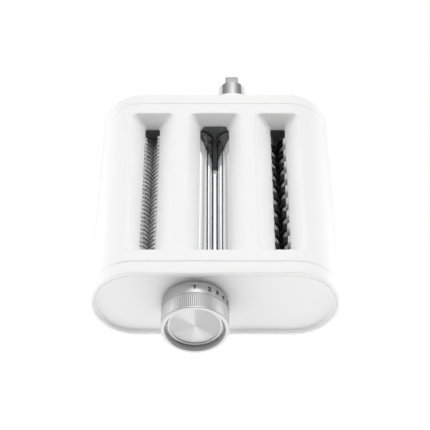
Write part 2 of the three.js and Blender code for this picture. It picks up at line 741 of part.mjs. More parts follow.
function hubBoss() {
  const flangeFront = TRAIN.rear + 3.2;
  const flangeRear = REAR_FACE - SKIN - GAP;
  return turnedRing([
    [BOSS.bore, flangeFront], [BOSS.flangeRadius, flangeFront], [BOSS.flangeRadius, flangeRear],
    [BOSS.radius, flangeRear], [BOSS.radius, BOSS.face - 1.2], [BOSS.radius - 1.2, BOSS.face],
    [BOSS.bore, BOSS.face],
  ], 28);
}

function hubBarrel() {
  const flangeFront = TRAIN.rear + 1.7;
  const flangeRear = TRAIN.rear + 2.9;
  const body = turnedRing([
    [BARREL.bore, flangeFront], [BARREL.flangeRadius, flangeFront], [BARREL.flangeRadius, flangeRear],
    [BARREL.radius, flangeRear], [BARREL.radius, BARREL.end - 1], [BARREL.radius - 1, BARREL.end],
    [BARREL.bore, BARREL.end],
  ], 24);
  const lockHole = new THREE.CylinderGeometry(3.2, 3.2, BARREL.radius, 12);
  lockHole.rotateZ(Math.PI / 2).translate(-BARREL.radius, LOCK_HOLE_Y, 0);
  return cut(body, lockHole);
}

// ---------------------------------------------------------------- materials

function plastic(colour, roughness) {
  return new THREE.MeshStandardMaterial({ color: colour, roughness, metalness: 0 });
}

function metal(colour, roughness) {
  return new THREE.MeshStandardMaterial({ color: colour, roughness, metalness: 1 });
}

const WHITE_PLASTIC = plastic(0xf2f2f0, 0.35);
const DARK_PLATE = metal(0x55575a, 0.5);
const POLISHED_STEEL = metal(0xd6d8da, 0.12);
const SATIN_ALUMINIUM = metal(0xc9cacb, 0.3);
const CUTTER_STEEL = metal(0x8d8f92, 0.3);
const BLACK_STEEL = metal(0x3c3d40, 0.32);
const GEAR_PLASTIC = plastic(0xdcd8cc, 0.5);
const BRONZE = metal(0xa9814f, 0.4);
const ZINC = metal(0xb4b6b8, 0.35);
const SPRING_STEEL = metal(0x9b9da0, 0.3);

// ---------------------------------------------------------------- assembly

const attachment = new THREE.Group();
const housing = new THREE.Group();
housing.position.set(0, -(KNOB_FRONT + SHANK.rear) / 2, HEIGHT / 2);
attachment.add(housing);

function place(name, geometry, material, x = 0, z = 0, turn = 0) {
  const mesh = new THREE.Mesh(geometry, material);
  mesh.name = name;
  mesh.position.set(x, 0, z);
  mesh.rotation.y = turn;
  housing.add(mesh);
}

place('main_shell', mainShell(), WHITE_PLASTIC);
place('front_end_cap', frontEndCap(), WHITE_PLASTIC);
place('rear_end_cap', rearEndCap(), WHITE_PLASTIC);
place('outlet_cover', outletCover(), WHITE_PLASTIC);
COVER_SCREWS.forEach(([x, y], index) => {
  const mesh = new THREE.Mesh(coverScrew(), ZINC);
  mesh.name = `cover_screw_${index + 1}`;
  mesh.position.set(x, y, 0);
  housing.add(mesh);
});

place('front_bearing_plate', bearingPlate(), DARK_PLATE);
place('front_frame_plate', frontFramePlate(), DARK_PLATE);
place('rear_frame_plate', rearFramePlate(), DARK_PLATE);
tieRodPlaces().forEach(([x, z], index) => place(`tie_rod_${index + 1}`, tieRod(), ZINC, x, z));
place('front_drive_bush', driveBush(BEARING_PLATE, -1), BRONZE, FIXED_X);
place('rear_drive_bush', driveBush(REAR_PLATE, 1), BRONZE, FIXED_X);

place('fixed_roller', fixedRoller(), POLISHED_STEEL, FIXED_X);
place('drive_shaft', driveShaft(), POLISHED_STEEL, FIXED_X);
place('adjustable_roller', adjustableRoller(), POLISHED_STEEL, ADJUSTABLE_X);

// The fixed roller's gear starts with a tooth towards its neighbour, and the neighbour with a gap.
const rollerGear = (bore) => {
  return gear(ROLLER_GEAR_TEETH, ROLLER_GEAR_MODULE, ROLLER_TOOTH, bore, PAIR.front, PAIR.rear);
};
place('fixed_roller_gear', rollerGear(SHAFT_RADIUS + GAP), GEAR_PLASTIC, FIXED_X);
place(
  'adjustable_roller_gear', rollerGear(JOURNAL_RADIUS + GAP), GEAR_PLASTIC,
  ADJUSTABLE_X, 0, Math.PI / ROLLER_GEAR_TEETH,
);

const trainGear = (teeth, bore) => {
  return gear(teeth, TRAIN_MODULE, TRAIN_TOOTH, bore, TRAIN.front, TRAIN.rear);
};
const [leftFar, leftNear, rightNear, rightFar] = cutterAxes();
const idler = idlerAxis();
// Angles about Y at which the idler faces the drive gear and the left cutter gear.
const towardsDrive = Math.atan2(-idler.z, FIXED_X - idler.x);
const towardsCutter = Math.atan2(-idler.z, leftNear - idler.x);
const idlerPhase = meshPhase(IDLER_TEETH, towardsDrive, TRAIN_TEETH, 0, towardsDrive + Math.PI);
place('drive_gear', trainGear(TRAIN_TEETH, SHAFT_RADIUS + GAP), GEAR_PLASTIC, FIXED_X);
place(
  'idler_gear', trainGear(IDLER_TEETH, IDLER_AXLE.radius + GAP), GEAR_PLASTIC,
  idler.x, idler.z, idlerPhase,
);
place('idler_axle', idlerAxle(), ZINC, idler.x, idler.z);
place(
  'wide_cutter_drive_gear', trainGear(TRAIN_TEETH, CUTTER_SHAFT_RADIUS + GAP), GEAR_PLASTIC,
  rightNear, 0, Math.PI / TRAIN_TEETH,
);
place(
  'fine_cutter_drive_gear', trainGear(TRAIN_TEETH, CUTTER_SHAFT_RADIUS + GAP), GEAR_PLASTIC,
  leftNear, 0, meshPhase(TRAIN_TEETH, towardsCutter + Math.PI, IDLER_TEETH, idlerPhase, towardsCutter),
);

// The inner roll of each pair reaches back into the drive gears.
const geared = TRAIN.rear + 0.6;
const free = REAR_PLATE.rear;
place('fine_roll_inner', cutterRoll(FINE, FINE.inner, geared), CUTTER_STEEL, leftNear);
place('fine_roll_outer', cutterRoll(FINE, FINE.outer, free), CUTTER_STEEL, leftFar);
place('wide_roll_inner', cutterRoll(WIDE, WIDE.inner, geared), BLACK_STEEL, rightNear);
place('wide_roll_outer', cutterRoll(WIDE, WIDE.outer, free), BLACK_STEEL, rightFar);

const cutterGear = () => {
  const module = (2 * CUTTER_HALF_SPACING) / CUTTER_GEAR_TEETH;
  return gear(CUTTER_GEAR_TEETH, module, CUTTER_TOOTH, CUTTER_SHAFT_RADIUS + GAP, PAIR.front, PAIR.rear);
};
place('fine_inner_gear', cutterGear(), GEAR_PLASTIC, leftNear);
place('fine_outer_gear', cutterGear(), GEAR_PLASTIC, leftFar, 0, Math.PI / CUTTER_GEAR_TEETH);
place('wide_inner_gear', cutterGear(), GEAR_PLASTIC, rightNear);
place('wide_outer_gear', cutterGear(), GEAR_PLASTIC, rightFar, 0, Math.PI / CUTTER_GEAR_TEETH);

place('fine_comb_inner', cutterComb(FINE, FINE.outer, 1), WHITE_PLASTIC, -CUTTER_X);
place('fine_comb_outer', cutterComb(FINE, FINE.inner, -1), WHITE_PLASTIC, -CUTTER_X);
place('wide_comb_inner', cutterComb(WIDE, WIDE.outer, -1), WHITE_PLASTIC, CUTTER_X);
place('wide_comb_outer', cutterComb(WIDE, WIDE.inner, 1), WHITE_PLASTIC, CUTTER_X);

place('front_bearing_block', bearingBlock(FRONT_BLOCK, true), BRONZE, ADJUSTABLE_X);
place('rear_bearing_block', bearingBlock(REAR_BLOCK, false), BRONZE, ADJUSTABLE_X);
place('front_cam', cam(FRONT_BLOCK.front + 0.3), ZINC, ADJUSTABLE_X);
place('rear_cam', cam(REAR_BLOCK.rear - CAM_LENGTH - 0.3), ZINC, ADJUSTABLE_X);
place('adjuster_spindle', adjusterSpindle(), POLISHED_STEEL, ADJUSTABLE_X);
place('spindle_bush', spindleBush(), BRONZE, ADJUSTABLE_X);

place('dial_ring', dialRing(), SATIN_ALUMINIUM, ADJUSTABLE_X);
place('knob_grip', knobGrip(), SATIN_ALUMINIUM, ADJUSTABLE_X);
place('knob_face_disc', knobFaceDisc(), SATIN_ALUMINIUM, ADJUSTABLE_X);
place('knob_stop_pin', stopPin(), ZINC, ADJUSTABLE_X);
place('knob_spring', knobSpring(), SPRING_STEEL, ADJUSTABLE_X);
place('spring_collar', springCollar(), ZINC, ADJUSTABLE_X);

place('hub_boss', hubBoss(), WHITE_PLASTIC, FIXED_X);
place('hub_barrel', hubBarrel(), POLISHED_STEEL, FIXED_X);

export default attachment;
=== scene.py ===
"""Looks of the pasta attachment: detailed meshes, procedural materials, light and camera.

Lengths are millimetres in the housing's own frame, X across, Y from the front rim to the rear and
Z up from the height of the roll axes. at() turns them into the row frame in metres.
"""

import json
import math

import bpy
import bmesh
import numpy as np
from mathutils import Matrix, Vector
from mathutils.geometry import delaunay_2d_cdt


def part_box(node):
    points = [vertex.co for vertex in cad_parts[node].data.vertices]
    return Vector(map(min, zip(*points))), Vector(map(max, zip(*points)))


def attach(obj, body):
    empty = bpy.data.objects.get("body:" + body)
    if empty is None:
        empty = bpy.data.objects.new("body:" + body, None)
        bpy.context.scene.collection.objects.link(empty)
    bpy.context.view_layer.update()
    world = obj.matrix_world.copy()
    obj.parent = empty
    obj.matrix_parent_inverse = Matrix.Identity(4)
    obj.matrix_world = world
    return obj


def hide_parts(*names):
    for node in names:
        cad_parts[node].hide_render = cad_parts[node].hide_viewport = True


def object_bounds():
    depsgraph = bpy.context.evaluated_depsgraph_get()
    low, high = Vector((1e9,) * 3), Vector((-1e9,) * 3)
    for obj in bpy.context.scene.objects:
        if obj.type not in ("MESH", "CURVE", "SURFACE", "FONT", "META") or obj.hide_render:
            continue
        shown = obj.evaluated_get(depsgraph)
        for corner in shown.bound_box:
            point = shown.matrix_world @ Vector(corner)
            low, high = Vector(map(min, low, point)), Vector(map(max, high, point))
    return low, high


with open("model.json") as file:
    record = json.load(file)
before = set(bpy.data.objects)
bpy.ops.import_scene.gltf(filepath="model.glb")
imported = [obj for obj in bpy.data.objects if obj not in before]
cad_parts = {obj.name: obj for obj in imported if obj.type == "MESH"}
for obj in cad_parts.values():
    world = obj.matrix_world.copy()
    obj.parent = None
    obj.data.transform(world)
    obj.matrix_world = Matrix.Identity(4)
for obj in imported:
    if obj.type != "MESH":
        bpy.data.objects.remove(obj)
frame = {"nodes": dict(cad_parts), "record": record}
cad_low, cad_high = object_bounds()

MM = 0.001
shell_low, shell_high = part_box("main_shell")
cap_low, cap_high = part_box("front_end_cap")
rear_low, rear_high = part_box("rear_end_cap")
ORIGIN = Vector(((shell_low.x + shell_high.x) / 2, cap_low.y, (shell_low.z + shell_high.z) / 2))


def at(x, y, z):
    return ORIGIN + MM * Vector((x, y, z))


def local(point):
    return (point - ORIGIN) / MM


def axis_of(node):
    """X and Z of the axis along Y that a round node turns about, and its two end stations."""
    low, high = (local(p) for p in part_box(node))
    return (low.x + high.x) / 2, (low.z + high.z) / 2, low.y, high.y


# ---------------------------------------------------------------- dimensions

R = (shell_high.z - shell_low.z) / MM / 2
HALF_FLAT = (shell_high.x - shell_low.x) / MM / 2 - R
SKIN = 2.6
SHELL_FRONT = local(shell_low).y
SHELL_REAR = local(shell_high).y
CAP_REAR = local(cap_high).y
REAR_CAP_FRONT = local(rear_low).y
REAR_FACE = local(rear_high).y
SEAM_EDGE = 0.5
SLOT_FRONT = 31
SLOT_REAR = 195
SLOT_LEVEL = 20
SLOT_LIP = 2.4
WELL_FRONT = 26.4
WELL_REAR = 195.7
SIDE_WELL = {"top": 54.25, "top_half": 19.45, "slot": 55, "slot_half": 6.4}
MIDDLE_WELL = {"top": 0, "top_half": 22.5, "slot": -0.5, "slot_half": 12.6, "arch": 4.2}
ARCH_RUN = 3
WELL_CORNER = 6
SLOT_CORNER = 1.8
RIM_WIDTH = 4
RIM_DEPTH = 3
OPENING_HALF = 72
OPENING = (30, 200)
FIXED_X, _, _, _ = axis_of("fixed_roller")
ADJUSTABLE_X, _, _, _ = axis_of("adjustable_roller")

# ---------------------------------------------------------------- mesh helpers


def make(name, verts, faces, material, body, replaces=(), slot=None, sharp=35):
    """A piece from points in the housing's frame, with its normals outwards."""
    mesh = bpy.data.meshes.new(name)
    mesh.from_pydata([at(*v) for v in verts], [], faces)
    mesh.validate()
    bm = bmesh.new()
    bm.from_mesh(mesh)
    bmesh.ops.remove_doubles(bm, verts=bm.verts, dist=1e-6)
    bmesh.ops.recalc_face_normals(bm, faces=bm.faces)
    bm.to_mesh(mesh)
    bm.free()
    mesh.shade_smooth()
    mesh.set_sharp_from_angle(angle=math.radians(sharp))
    obj = bpy.data.objects.new(name, mesh)
    bpy.context.scene.collection.objects.link(obj)
    mesh.materials.append(material)
    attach(obj, body)
    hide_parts(*replaces)
    return obj


def fillet(points, radius, steps=4, closed=False):
    """Rounds the corners of a 2-D line; a third number at a point is its own radius."""
    out = []
    count = len(points)
    for i, point in enumerate(points):
        p = np.array(point[:2], float)
        r = point[2] if len(point) > 2 else radius
        if r == 0 or (not closed and i in (0, count - 1)):
            out.append(tuple(p))
            continue
        a = np.array(points[i - 1][:2], float) - p
        b = np.array(points[(i + 1) % count][:2], float) - p
        la, lb = np.linalg.norm(a), np.linalg.norm(b)
        a, b = a / la, b / lb
        half = math.acos(float(np.clip(a @ b, -1, 1))) / 2
        reach = min(r / math.tan(half), 0.45 * la, 0.45 * lb)
        for k in range(steps + 1):
            s = k / steps
            corner = (1 - s) ** 2 * (p + a * reach) + 2 * s * (1 - s) * p + s * s * (p + b * reach)
            out.append(tuple(corner))
    return out


def lathe(profile, cx, cz, segments, closed=False, depth=None):
    """A body turned about Y from (radius, y) points; depth(angle, radius, y) sinks the surface."""
    verts, faces, rings = [], [], []
    for r, y in profile:
        start = len(verts)
        if r < 1e-6:
            verts.append((cx, y, cz))
            rings.append([start])
            continue
        for k in range(segments):
            angle = 2 * math.pi * k / segments
            reach = r - (depth(angle, r, y) if depth else 0)
            verts.append((cx + reach * math.cos(angle), y, cz + reach * math.sin(angle)))
        rings.append(list(range(start, start + segments)))
    pairs = list(zip(rings, rings[1:]))
    if closed:
        pairs.append((rings[-1], rings[0]))
    for a, b in pairs:
        for k in range(segments):
            n = (k + 1) % segments
            if len(a) == 1 and len(b) == 1:
                continue
            if len(a) == 1:
                faces.append((a[0], b[k], b[n]))
            elif len(b) == 1:
                faces.append((a[k], b[0], a[n]))
            else:
                faces.append((a[k], b[k], b[n], a[n]))
    return verts, faces


def banded(piece, front, rear, finish):
    """A second material on the faces whose middle lies between two stations; the dial uses it for a band of
    painted shade.
    """
    piece.data.materials.append(finish)
    low, high = at(0, front, 0).y, at(0, rear, 0).y
    for polygon in piece.data.polygons:
        if low < polygon.center.y < high:
            polygon.material_index = 1


def moved_join(parts):
    """Several (verts, faces) as one."""
    verts, faces = [], []
    for v, f in parts:
        base = len(verts)
        verts += v
        faces += [tuple(i + base for i in face) for face in f]
    return verts, faces


def inside(point, loop):
    x, y = point
    hit = False
    for (x0, y0), (x1, y1) in zip(loop, loop[1:] + loop[:1]):
        if (y0 > y) != (y1 > y) and x < (x1 - x0) * (y - y0) / (y1 - y0) + x0:
            hit = not hit
    return hit


def triangulate(outer, holes, extra=()):
    """Triangles of a flat region with holes. Returns index triples into outer + holes + extra."""
    points, edges = [], []
    for loop in [outer, *holes]:
        base = len(points)
        points += loop
        edges += [(base + i, base + (i + 1) % len(loop)) for i in range(len(loop))]
    points += list(extra)
    result = delaunay_2d_cdt([Vector(p) for p in points], edges, [], 0, 1e-5, True)
    made, _, tris, origin = result[:4]
    index = [ids[0] for ids in origin]
    faces = []
    for tri in tris:
        cx = sum(made[i][0] for i in tri) / 3
        cy = sum(made[i][1] for i in tri) / 3
        if inside((cx, cy), outer) and not any(inside((cx, cy), h) for h in holes):
            faces.append(tuple(index[i] for i in tri))
    return faces


# ---------------------------------------------------------------- materials


BUMP_DEPTH = 0.0001


def material(name, base, roughness, metallic=0.0, **extra):
    """A procedural finish: colour and roughness vary with noise, and a fine bump breaks it up."""
    mat = bpy.data.materials.new(name)
    mat.use_nodes = True
    tree = mat.node_tree
    tree.nodes.clear()
    new = tree.nodes.new
    link = tree.links.new
    out = new("ShaderNodeOutputMaterial")
    bsdf = new("ShaderNodeBsdfPrincipled")
    link(bsdf.outputs["BSDF"], out.inputs["Surface"])
    bsdf.inputs["Metallic"].default_value = metallic
    coords = new("ShaderNodeTexCoord")
    mapping = new("ShaderNodeMapping")
    mapping.inputs["Scale"].default_value = extra.get("stretch", (1, 1, 1))
    link(coords.outputs["Object"], mapping.inputs["Vector"])

    def noise(scale, detail):
        node = new("ShaderNodeTexNoise")
        node.inputs["Scale"].default_value = scale
        node.inputs["Detail"].default_value = detail
        link(mapping.outputs["Vector"], node.inputs["Vector"])
        return node

    def ramp(source, low, high):
        node = new("ShaderNodeMapRange")
        node.inputs["From Min"].default_value = 0.3
        node.inputs["From Max"].default_value = 0.7
        node.inputs["To Min"].default_value = low
        node.inputs["To Max"].default_value = high
        link(source, node.inputs["Value"])
        return node.outputs["Result"]

    broad = noise(extra.get("broad", 40), 3)
    fine = noise(extra.get("fine", 1500), 4)
    mix = new("ShaderNodeMix")
    mix.data_type = "RGBA"
    low = tuple(c * (1 - extra.get("vary", 0.03)) for c in base)
    mix.inputs["A"].default_value = (*low, 1)
    mix.inputs["B"].default_value = (*base, 1)
    link(broad.outputs["Fac"], mix.inputs["Factor"])
    link(mix.outputs["Result"], bsdf.inputs["Base Color"])
    spread = extra.get("spread", 0.05)
    link(ramp(fine.outputs["Fac"], roughness - spread, roughness + spread), bsdf.inputs["Roughness"])
    bump = new("ShaderNodeBump")
    bump.inputs["Strength"].default_value = extra.get("bump", 0.05)
    bump.inputs["Distance"].default_value = BUMP_DEPTH
    link(fine.outputs["Fac"], bump.inputs["Height"])
    link(bump.outputs["Normal"], bsdf.inputs["Normal"])
    return mat


def paint_outline_light_and_shade(mat, edge, power):
    """Paints light and shade into the finish: near its outline, where the surface turns from the eye, its
    colour turns towards another brightness.
    """
    tree = mat.node_tree
    bsdf = next(n for n in tree.nodes if n.type == "BSDF_PRINCIPLED")
    source = bsdf.inputs["Base Color"].links[0].from_socket
    weight = tree.nodes.new("ShaderNodeLayerWeight")
    narrow = tree.nodes.new("ShaderNodeMath")
    narrow.operation = "POWER"
    narrow.inputs[1].default_value = power
    tree.links.new(weight.outputs["Facing"], narrow.inputs[0])
    mix = tree.nodes.new("ShaderNodeMix")
    mix.data_type = "RGBA"
    mix.inputs["B"].default_value = (edge, edge, edge, 1)
    tree.links.new(narrow.outputs["Value"], mix.inputs["Factor"])
    tree.links.new(source, mix.inputs["A"])
    tree.links.new(mix.outputs["Result"], bsdf.inputs["Base Color"])
    return mat


def spun(mat, centre):
    """Multiplies the finish by fine spokes and by painted highlights: broad sectors of brightness about an
    axis along Y.
    """
    tree = mat.node_tree
    new, link = tree.nodes.new, tree.links.new
    bsdf = next(n for n in tree.nodes if n.type == "BSDF_PRINCIPLED")
    source = bsdf.inputs["Base Color"].links[0].from_socket
    coords = new("ShaderNodeTexCoord")
    shift = new("ShaderNodeMapping")
    shift.inputs["Location"].default_value = (-centre.x, -centre.y, -centre.z)
    link(coords.outputs["Object"], shift.inputs["Vector"])
    turn = new("ShaderNodeMapping")
    turn.inputs["Rotation"].default_value = (math.radians(90), 0, 0)
    link(shift.outputs["Vector"], turn.inputs["Vector"])
    angle = new("ShaderNodeTexGradient")
    angle.gradient_type = "RADIAL"
    link(turn.outputs["Vector"], angle.inputs["Vector"])
    painted_highlight = new("ShaderNodeValToRGB")
    painted_highlight.color_ramp.interpolation = "EASE"
    ramp = painted_highlight.color_ramp.elements
    ramp[0].position, ramp[0].color = PAINTED_HIGHLIGHTS[0][0], (PAINTED_HIGHLIGHTS[0][1],) * 3 + (1,)
    ramp[1].position, ramp[1].color = PAINTED_HIGHLIGHTS[-1][0], (PAINTED_HIGHLIGHTS[-1][1],) * 3 + (1,)
    for place, level in PAINTED_HIGHLIGHTS[1:-1]:
        element = ramp.new(place)
        element.color = (level, level, level, 1)
    link(angle.outputs["Fac"], painted_highlight.inputs["Fac"])
    spokes = new("ShaderNodeTexNoise")
    spokes.noise_dimensions = "1D"
    spokes.inputs["Scale"].default_value = 220
    link(angle.outputs["Fac"], spokes.inputs["W"])
    streak = new("ShaderNodeMapRange")
    streak.inputs["To Min"].default_value = 0.93
    streak.inputs["To Max"].default_value = 1.05
    link(spokes.outputs["Fac"], streak.inputs["Value"])
    both = new("ShaderNodeMix")
    both.data_type = "RGBA"
    both.blend_type = "MULTIPLY"
    both.inputs["Factor"].default_value = 1
    link(painted_highlight.outputs["Color"], both.inputs["A"])
    link(streak.outputs["Result"], both.inputs["B"])
    final = new("ShaderNodeMix")
    final.data_type = "RGBA"
    final.blend_type = "MULTIPLY"
    final.inputs["Factor"].default_value = 1
    link(source, final.inputs["A"])
    link(both.outputs["Result"], final.inputs["B"])
    link(final.outputs["Result"], bsdf.inputs["Base Color"])
    return mat


# Turned round parts carry fine rings: the finish changes along Y and hardly at all round it.
ACROSS_Y = (0.03, 40, 0.03)
# Brightness of the painted highlights round the spun disc, standing in for the light its spun finish
# catches: 0 to 1 goes once round from -X.
PAINTED_HIGHLIGHTS = [
    (0.0, 0.76), (0.07, 0.74), (0.11, 0.86), (0.15, 0.97), (0.2, 0.96), (0.24, 0.93), (0.265, 0.74),
    (0.35, 0.7), (0.5, 0.69), (0.59, 0.71), (0.63, 0.86), (0.7, 1.0), (0.76, 0.97), (0.8, 0.86),
    (0.86, 0.84), (0.9, 0.82), (0.94, 0.74), (1.0, 0.76),
]
# White plastic with painted shade: its colour darkens towards 0.74 near the outline, where the rounded sides
# turn from the eye.
WHITE = paint_outline_light_and_shade(
    material("white_plastic", (0.93, 0.93, 0.927), 0.38, fine=2200, bump=0.12, vary=0.012), 0.74, 4.0,
)
# The dark plates' own coat. It also makes the dark band at each roller's rear end, and painted shade in a
# thin band round the dial's rear edge.
DARK = material("dark_plate_coat", (0.12, 0.12, 0.123), 0.4, 0.5, vary=0.2, bump=0.2)
PLATE = material("rear_plate_coat", (0.3, 0.3, 0.305), 0.38, 0.6, vary=0.15, bump=0.2)
CHROME = material(
    "chrome_rollers", (0.86, 0.865, 0.87), 0.08, 1.0, stretch=(1, 60, 1), fine=60, spread=0.03, bump=0.02,
)
SATIN = material("satin_aluminium", (0.8, 0.8, 0.802), 0.3, 1.0, stretch=ACROSS_Y, fine=90, bump=0.05)
# Painted reflection: the turned aluminium darkens towards 0.2 near its outline, standing in for the dark
# room its sides mirror.
DIAL = paint_outline_light_and_shade(material(
    "turned_aluminium", (0.8, 0.8, 0.805), 0.2, 1.0, stretch=ACROSS_Y, fine=60, vary=0.1, bump=0.06,
), 0.2, 1.1)
# Painted shade on the knurl: the crests darken towards 0.4 near the outline and the valleys towards 0.2, and
# the valleys' own colour is a little darker, painted shade in the creases.
KNURL = paint_outline_light_and_shade(material("knurl_crests", (0.86, 0.86, 0.863), 0.34, 1.0, fine=700, bump=0.05), 0.4, 1.3)
KNURL_VALLEY = paint_outline_light_and_shade(
    material("knurl_valleys", (0.82, 0.82, 0.825), 0.45, 1.0, fine=700, bump=0.05), 0.2, 1.3,
)
CHANNEL = material("channel_aluminium", (0.78, 0.78, 0.785), 0.6, 1.0, fine=500, vary=0.08, bump=0.08)
SPUN = spun(
    material("spun_aluminium", (0.84, 0.84, 0.843), 0.36, 1.0, fine=900, bump=0.04, spread=0.04),
    Vector((at(ADJUSTABLE_X, 0, 0).x, 0, at(0, 0, 0).z)),
)
CUTTER = material("cutter_steel", (0.88, 0.88, 0.885), 0.5, 1.0, vary=0.15, bump=0.1)
BLACK = material("black_steel", (0.045, 0.045, 0.048), 0.33, 1.0, vary=0.25, bump=0.15)
CORE = material("groove_steel", (0.95, 0.95, 0.955), 0.45, 1.0, vary=0.3, bump=0.15)
NYLON = material("gear_nylon", (0.74, 0.71, 0.64), 0.5, vary=0.06, bump=0.15)
BRONZE = material("sintered_bronze", (0.52, 0.36, 0.18), 0.42, 1.0, vary=0.2, bump=0.3)
ZINC = material("zinc_plate", (0.58, 0.59, 0.6), 0.36, 1.0, vary=0.12, bump=0.1)
SPRING = material("spring_wire", (0.5, 0.5, 0.52), 0.3, 1.0, vary=0.1, bump=0.08)
STEEL = material(
    "machined_steel", (0.5, 0.5, 0.505), 0.3, 1.0, stretch=ACROSS_Y, fine=60, vary=0.2, bump=0.1,
)
# Painted reflection on the barrel: a dark 0.42 middle that turns bright towards 0.95 near its outline,
# standing in for the light its sides mirror.
BARREL = paint_outline_light_and_shade(
    material("ground_steel", (0.42, 0.42, 0.425), 0.16, 1.0, stretch=(60, 0.1, 60), fine=8, vary=0.35),
    0.95, 1.3,
)
INK = material("black_ink", (0.006, 0.006, 0.006), 0.7, vary=0.3, bump=0.1)

KEPT = {
    "dark_plate": DARK, "zinc": ZINC, "bronze": BRONZE, "gear_plastic": NYLON,
    "polished_steel": CHROME, "satin_aluminium": SATIN, "cutter_steel": CUTTER,
    "black_steel": BLACK, "spring_steel": SPRING, "white_plastic": WHITE,
}
for row in frame["record"]["subparts"]:
    cad_mesh = frame["nodes"][row["node"]].data
    cad_mesh.materials.clear()
    cad_mesh.materials.append(PLATE if row["node"] == "rear_frame_plate" else KEPT[row["material_slot"]])

# ---------------------------------------------------------------- housing shell


def skin_point(s, y, inset):
    """The housing's skin unrolled: s runs round the section from the middle of the top."""
    sign = 1 if s >= 0 else -1
    reach = abs(s)
    arc = math.pi * R
    if reach <= HALF_FLAT:
        return (s, y, R - inset)
    if reach <= HALF_FLAT + arc:
        phi = (reach - HALF_FLAT) / R
        return (sign * (HALF_FLAT + (R - inset) * math.sin(phi)), y, (R - inset) * math.cos(phi))
    return (sign * (HALF_FLAT - (reach - HALF_FLAT - arc)), y, inset - R)


def skin_s(x):
    """s of the point on the upper skin that lies over x."""
    reach = abs(x)
    if reach <= HALF_FLAT:
        return x
    return math.copysign(HALF_FLAT + R * math.asin(min(1, (reach - HALF_FLAT) / R)), x)


def skin_height(x, inset):
    reach = max(0, abs(x) - HALF_FLAT)
    return math.sqrt(max(0, (R - inset) ** 2 - reach**2))


def well_ring(well, side, level, grow):
    """(x, y, outward x, outward y) round a well; level 0 is its slot and level 1 the top."""
    def mix(a, b):
        return a + (b - a) * level
    centre = side * mix(well["slot"], well["top"])
    half = mix(well["slot_half"], well["top_half"]) + grow
    front = mix(SLOT_FRONT, WELL_FRONT) - grow
    rear = mix(SLOT_REAR, WELL_REAR) + grow
    radius = mix(SLOT_CORNER, WELL_CORNER) + grow
    corners = []
    for quarter, (dx, dy) in enumerate([(1, 1), (-1, 1), (-1, -1), (1, -1)]):
        cx = centre + dx * (half - radius)
        cy = rear - radius if dy > 0 else front + radius
        arc = []
        for i in range(9):
            angle = math.pi / 2 * (quarter + i / 8)
            nx, ny = math.cos(angle), math.sin(angle)
            arc.append((cx + radius * nx, cy + radius * ny, nx, ny))
        corners.append(arc)
    ring = []
    for q in range(4):
        ring += corners[q]
        a, b = np.array(corners[q][-1]), np.array(corners[(q + 1) % 4][0])
        cuts = 12 if q in (0, 2) else 24
        ring += [tuple(a + (b - a) * k / cuts) for k in range(1, cuts)]
    return ring


def well_rings(well, side, inset, grow, soft):
    """Rings from the slot's lower edge up its wall and over the rounded top edge to the skin."""
    low = well_ring(well, side, 0, grow)
    top = well_ring(well, side, 1, grow)
    columns = []
    for (ax, ay, nx, ny), (cx, cy, _, _) in zip(low, top):
        # Over the rollers the lower edge of the middle well's rear wall rises as a flat arch.
        rise = 0
        if ny > 0.99:
            rise = well.get("arch", 0) * min(1, max(0, (well["slot_half"] - abs(ax)) / ARCH_RUN))
        a = np.array([ax, ay, SLOT_LEVEL + rise])
        c = np.array([cx, cy, R])
        reach = c - a
        t_low, t_high = 0.0, 1.2
        for _ in range(40):
            t = (t_low + t_high) / 2
            p = a + reach * t
            if p[2] < skin_height(p[0], inset):
                t_low = t
            else:
                t_high = t
        b = a + reach * t_low
        down = (a - b) / np.linalg.norm(a - b)
        side_reach, rear_reach, front_reach = soft
        end_reach = rear_reach if ny > 0 else front_reach
        tangent = side_reach * nx * nx + end_reach * ny * ny
        s = skin_s(b[0])
        t2 = np.array(skin_point(s + tangent * nx, b[1] + tangent * ny, inset))
        t1 = b + down * tangent
        column = [a + (0, 0, -SLOT_LIP), a + (0, 0, -0.7)]
        lip = a - down * 0.7
        for k in range(1, 4):
            f = k / 4
            column.append((1 - f) ** 2 * (a + (0, 0, -0.7)) + 2 * f * (1 - f) * a + f * f * lip)
        column.append(lip)
        for k in range(1, 4):
            column.append(lip + (t1 - lip) * k / 4)
        steps = 8
        for k in range(steps + 1):
            f = k / steps
            column.append((1 - f) ** 2 * t1 + 2 * f * (1 - f) * b + f * f * t2)
        support = (s + (tangent + 0.45) * nx, b[1] + (tangent + 0.45) * ny)
        columns.append(([tuple(p) for p in column], support))
    return columns


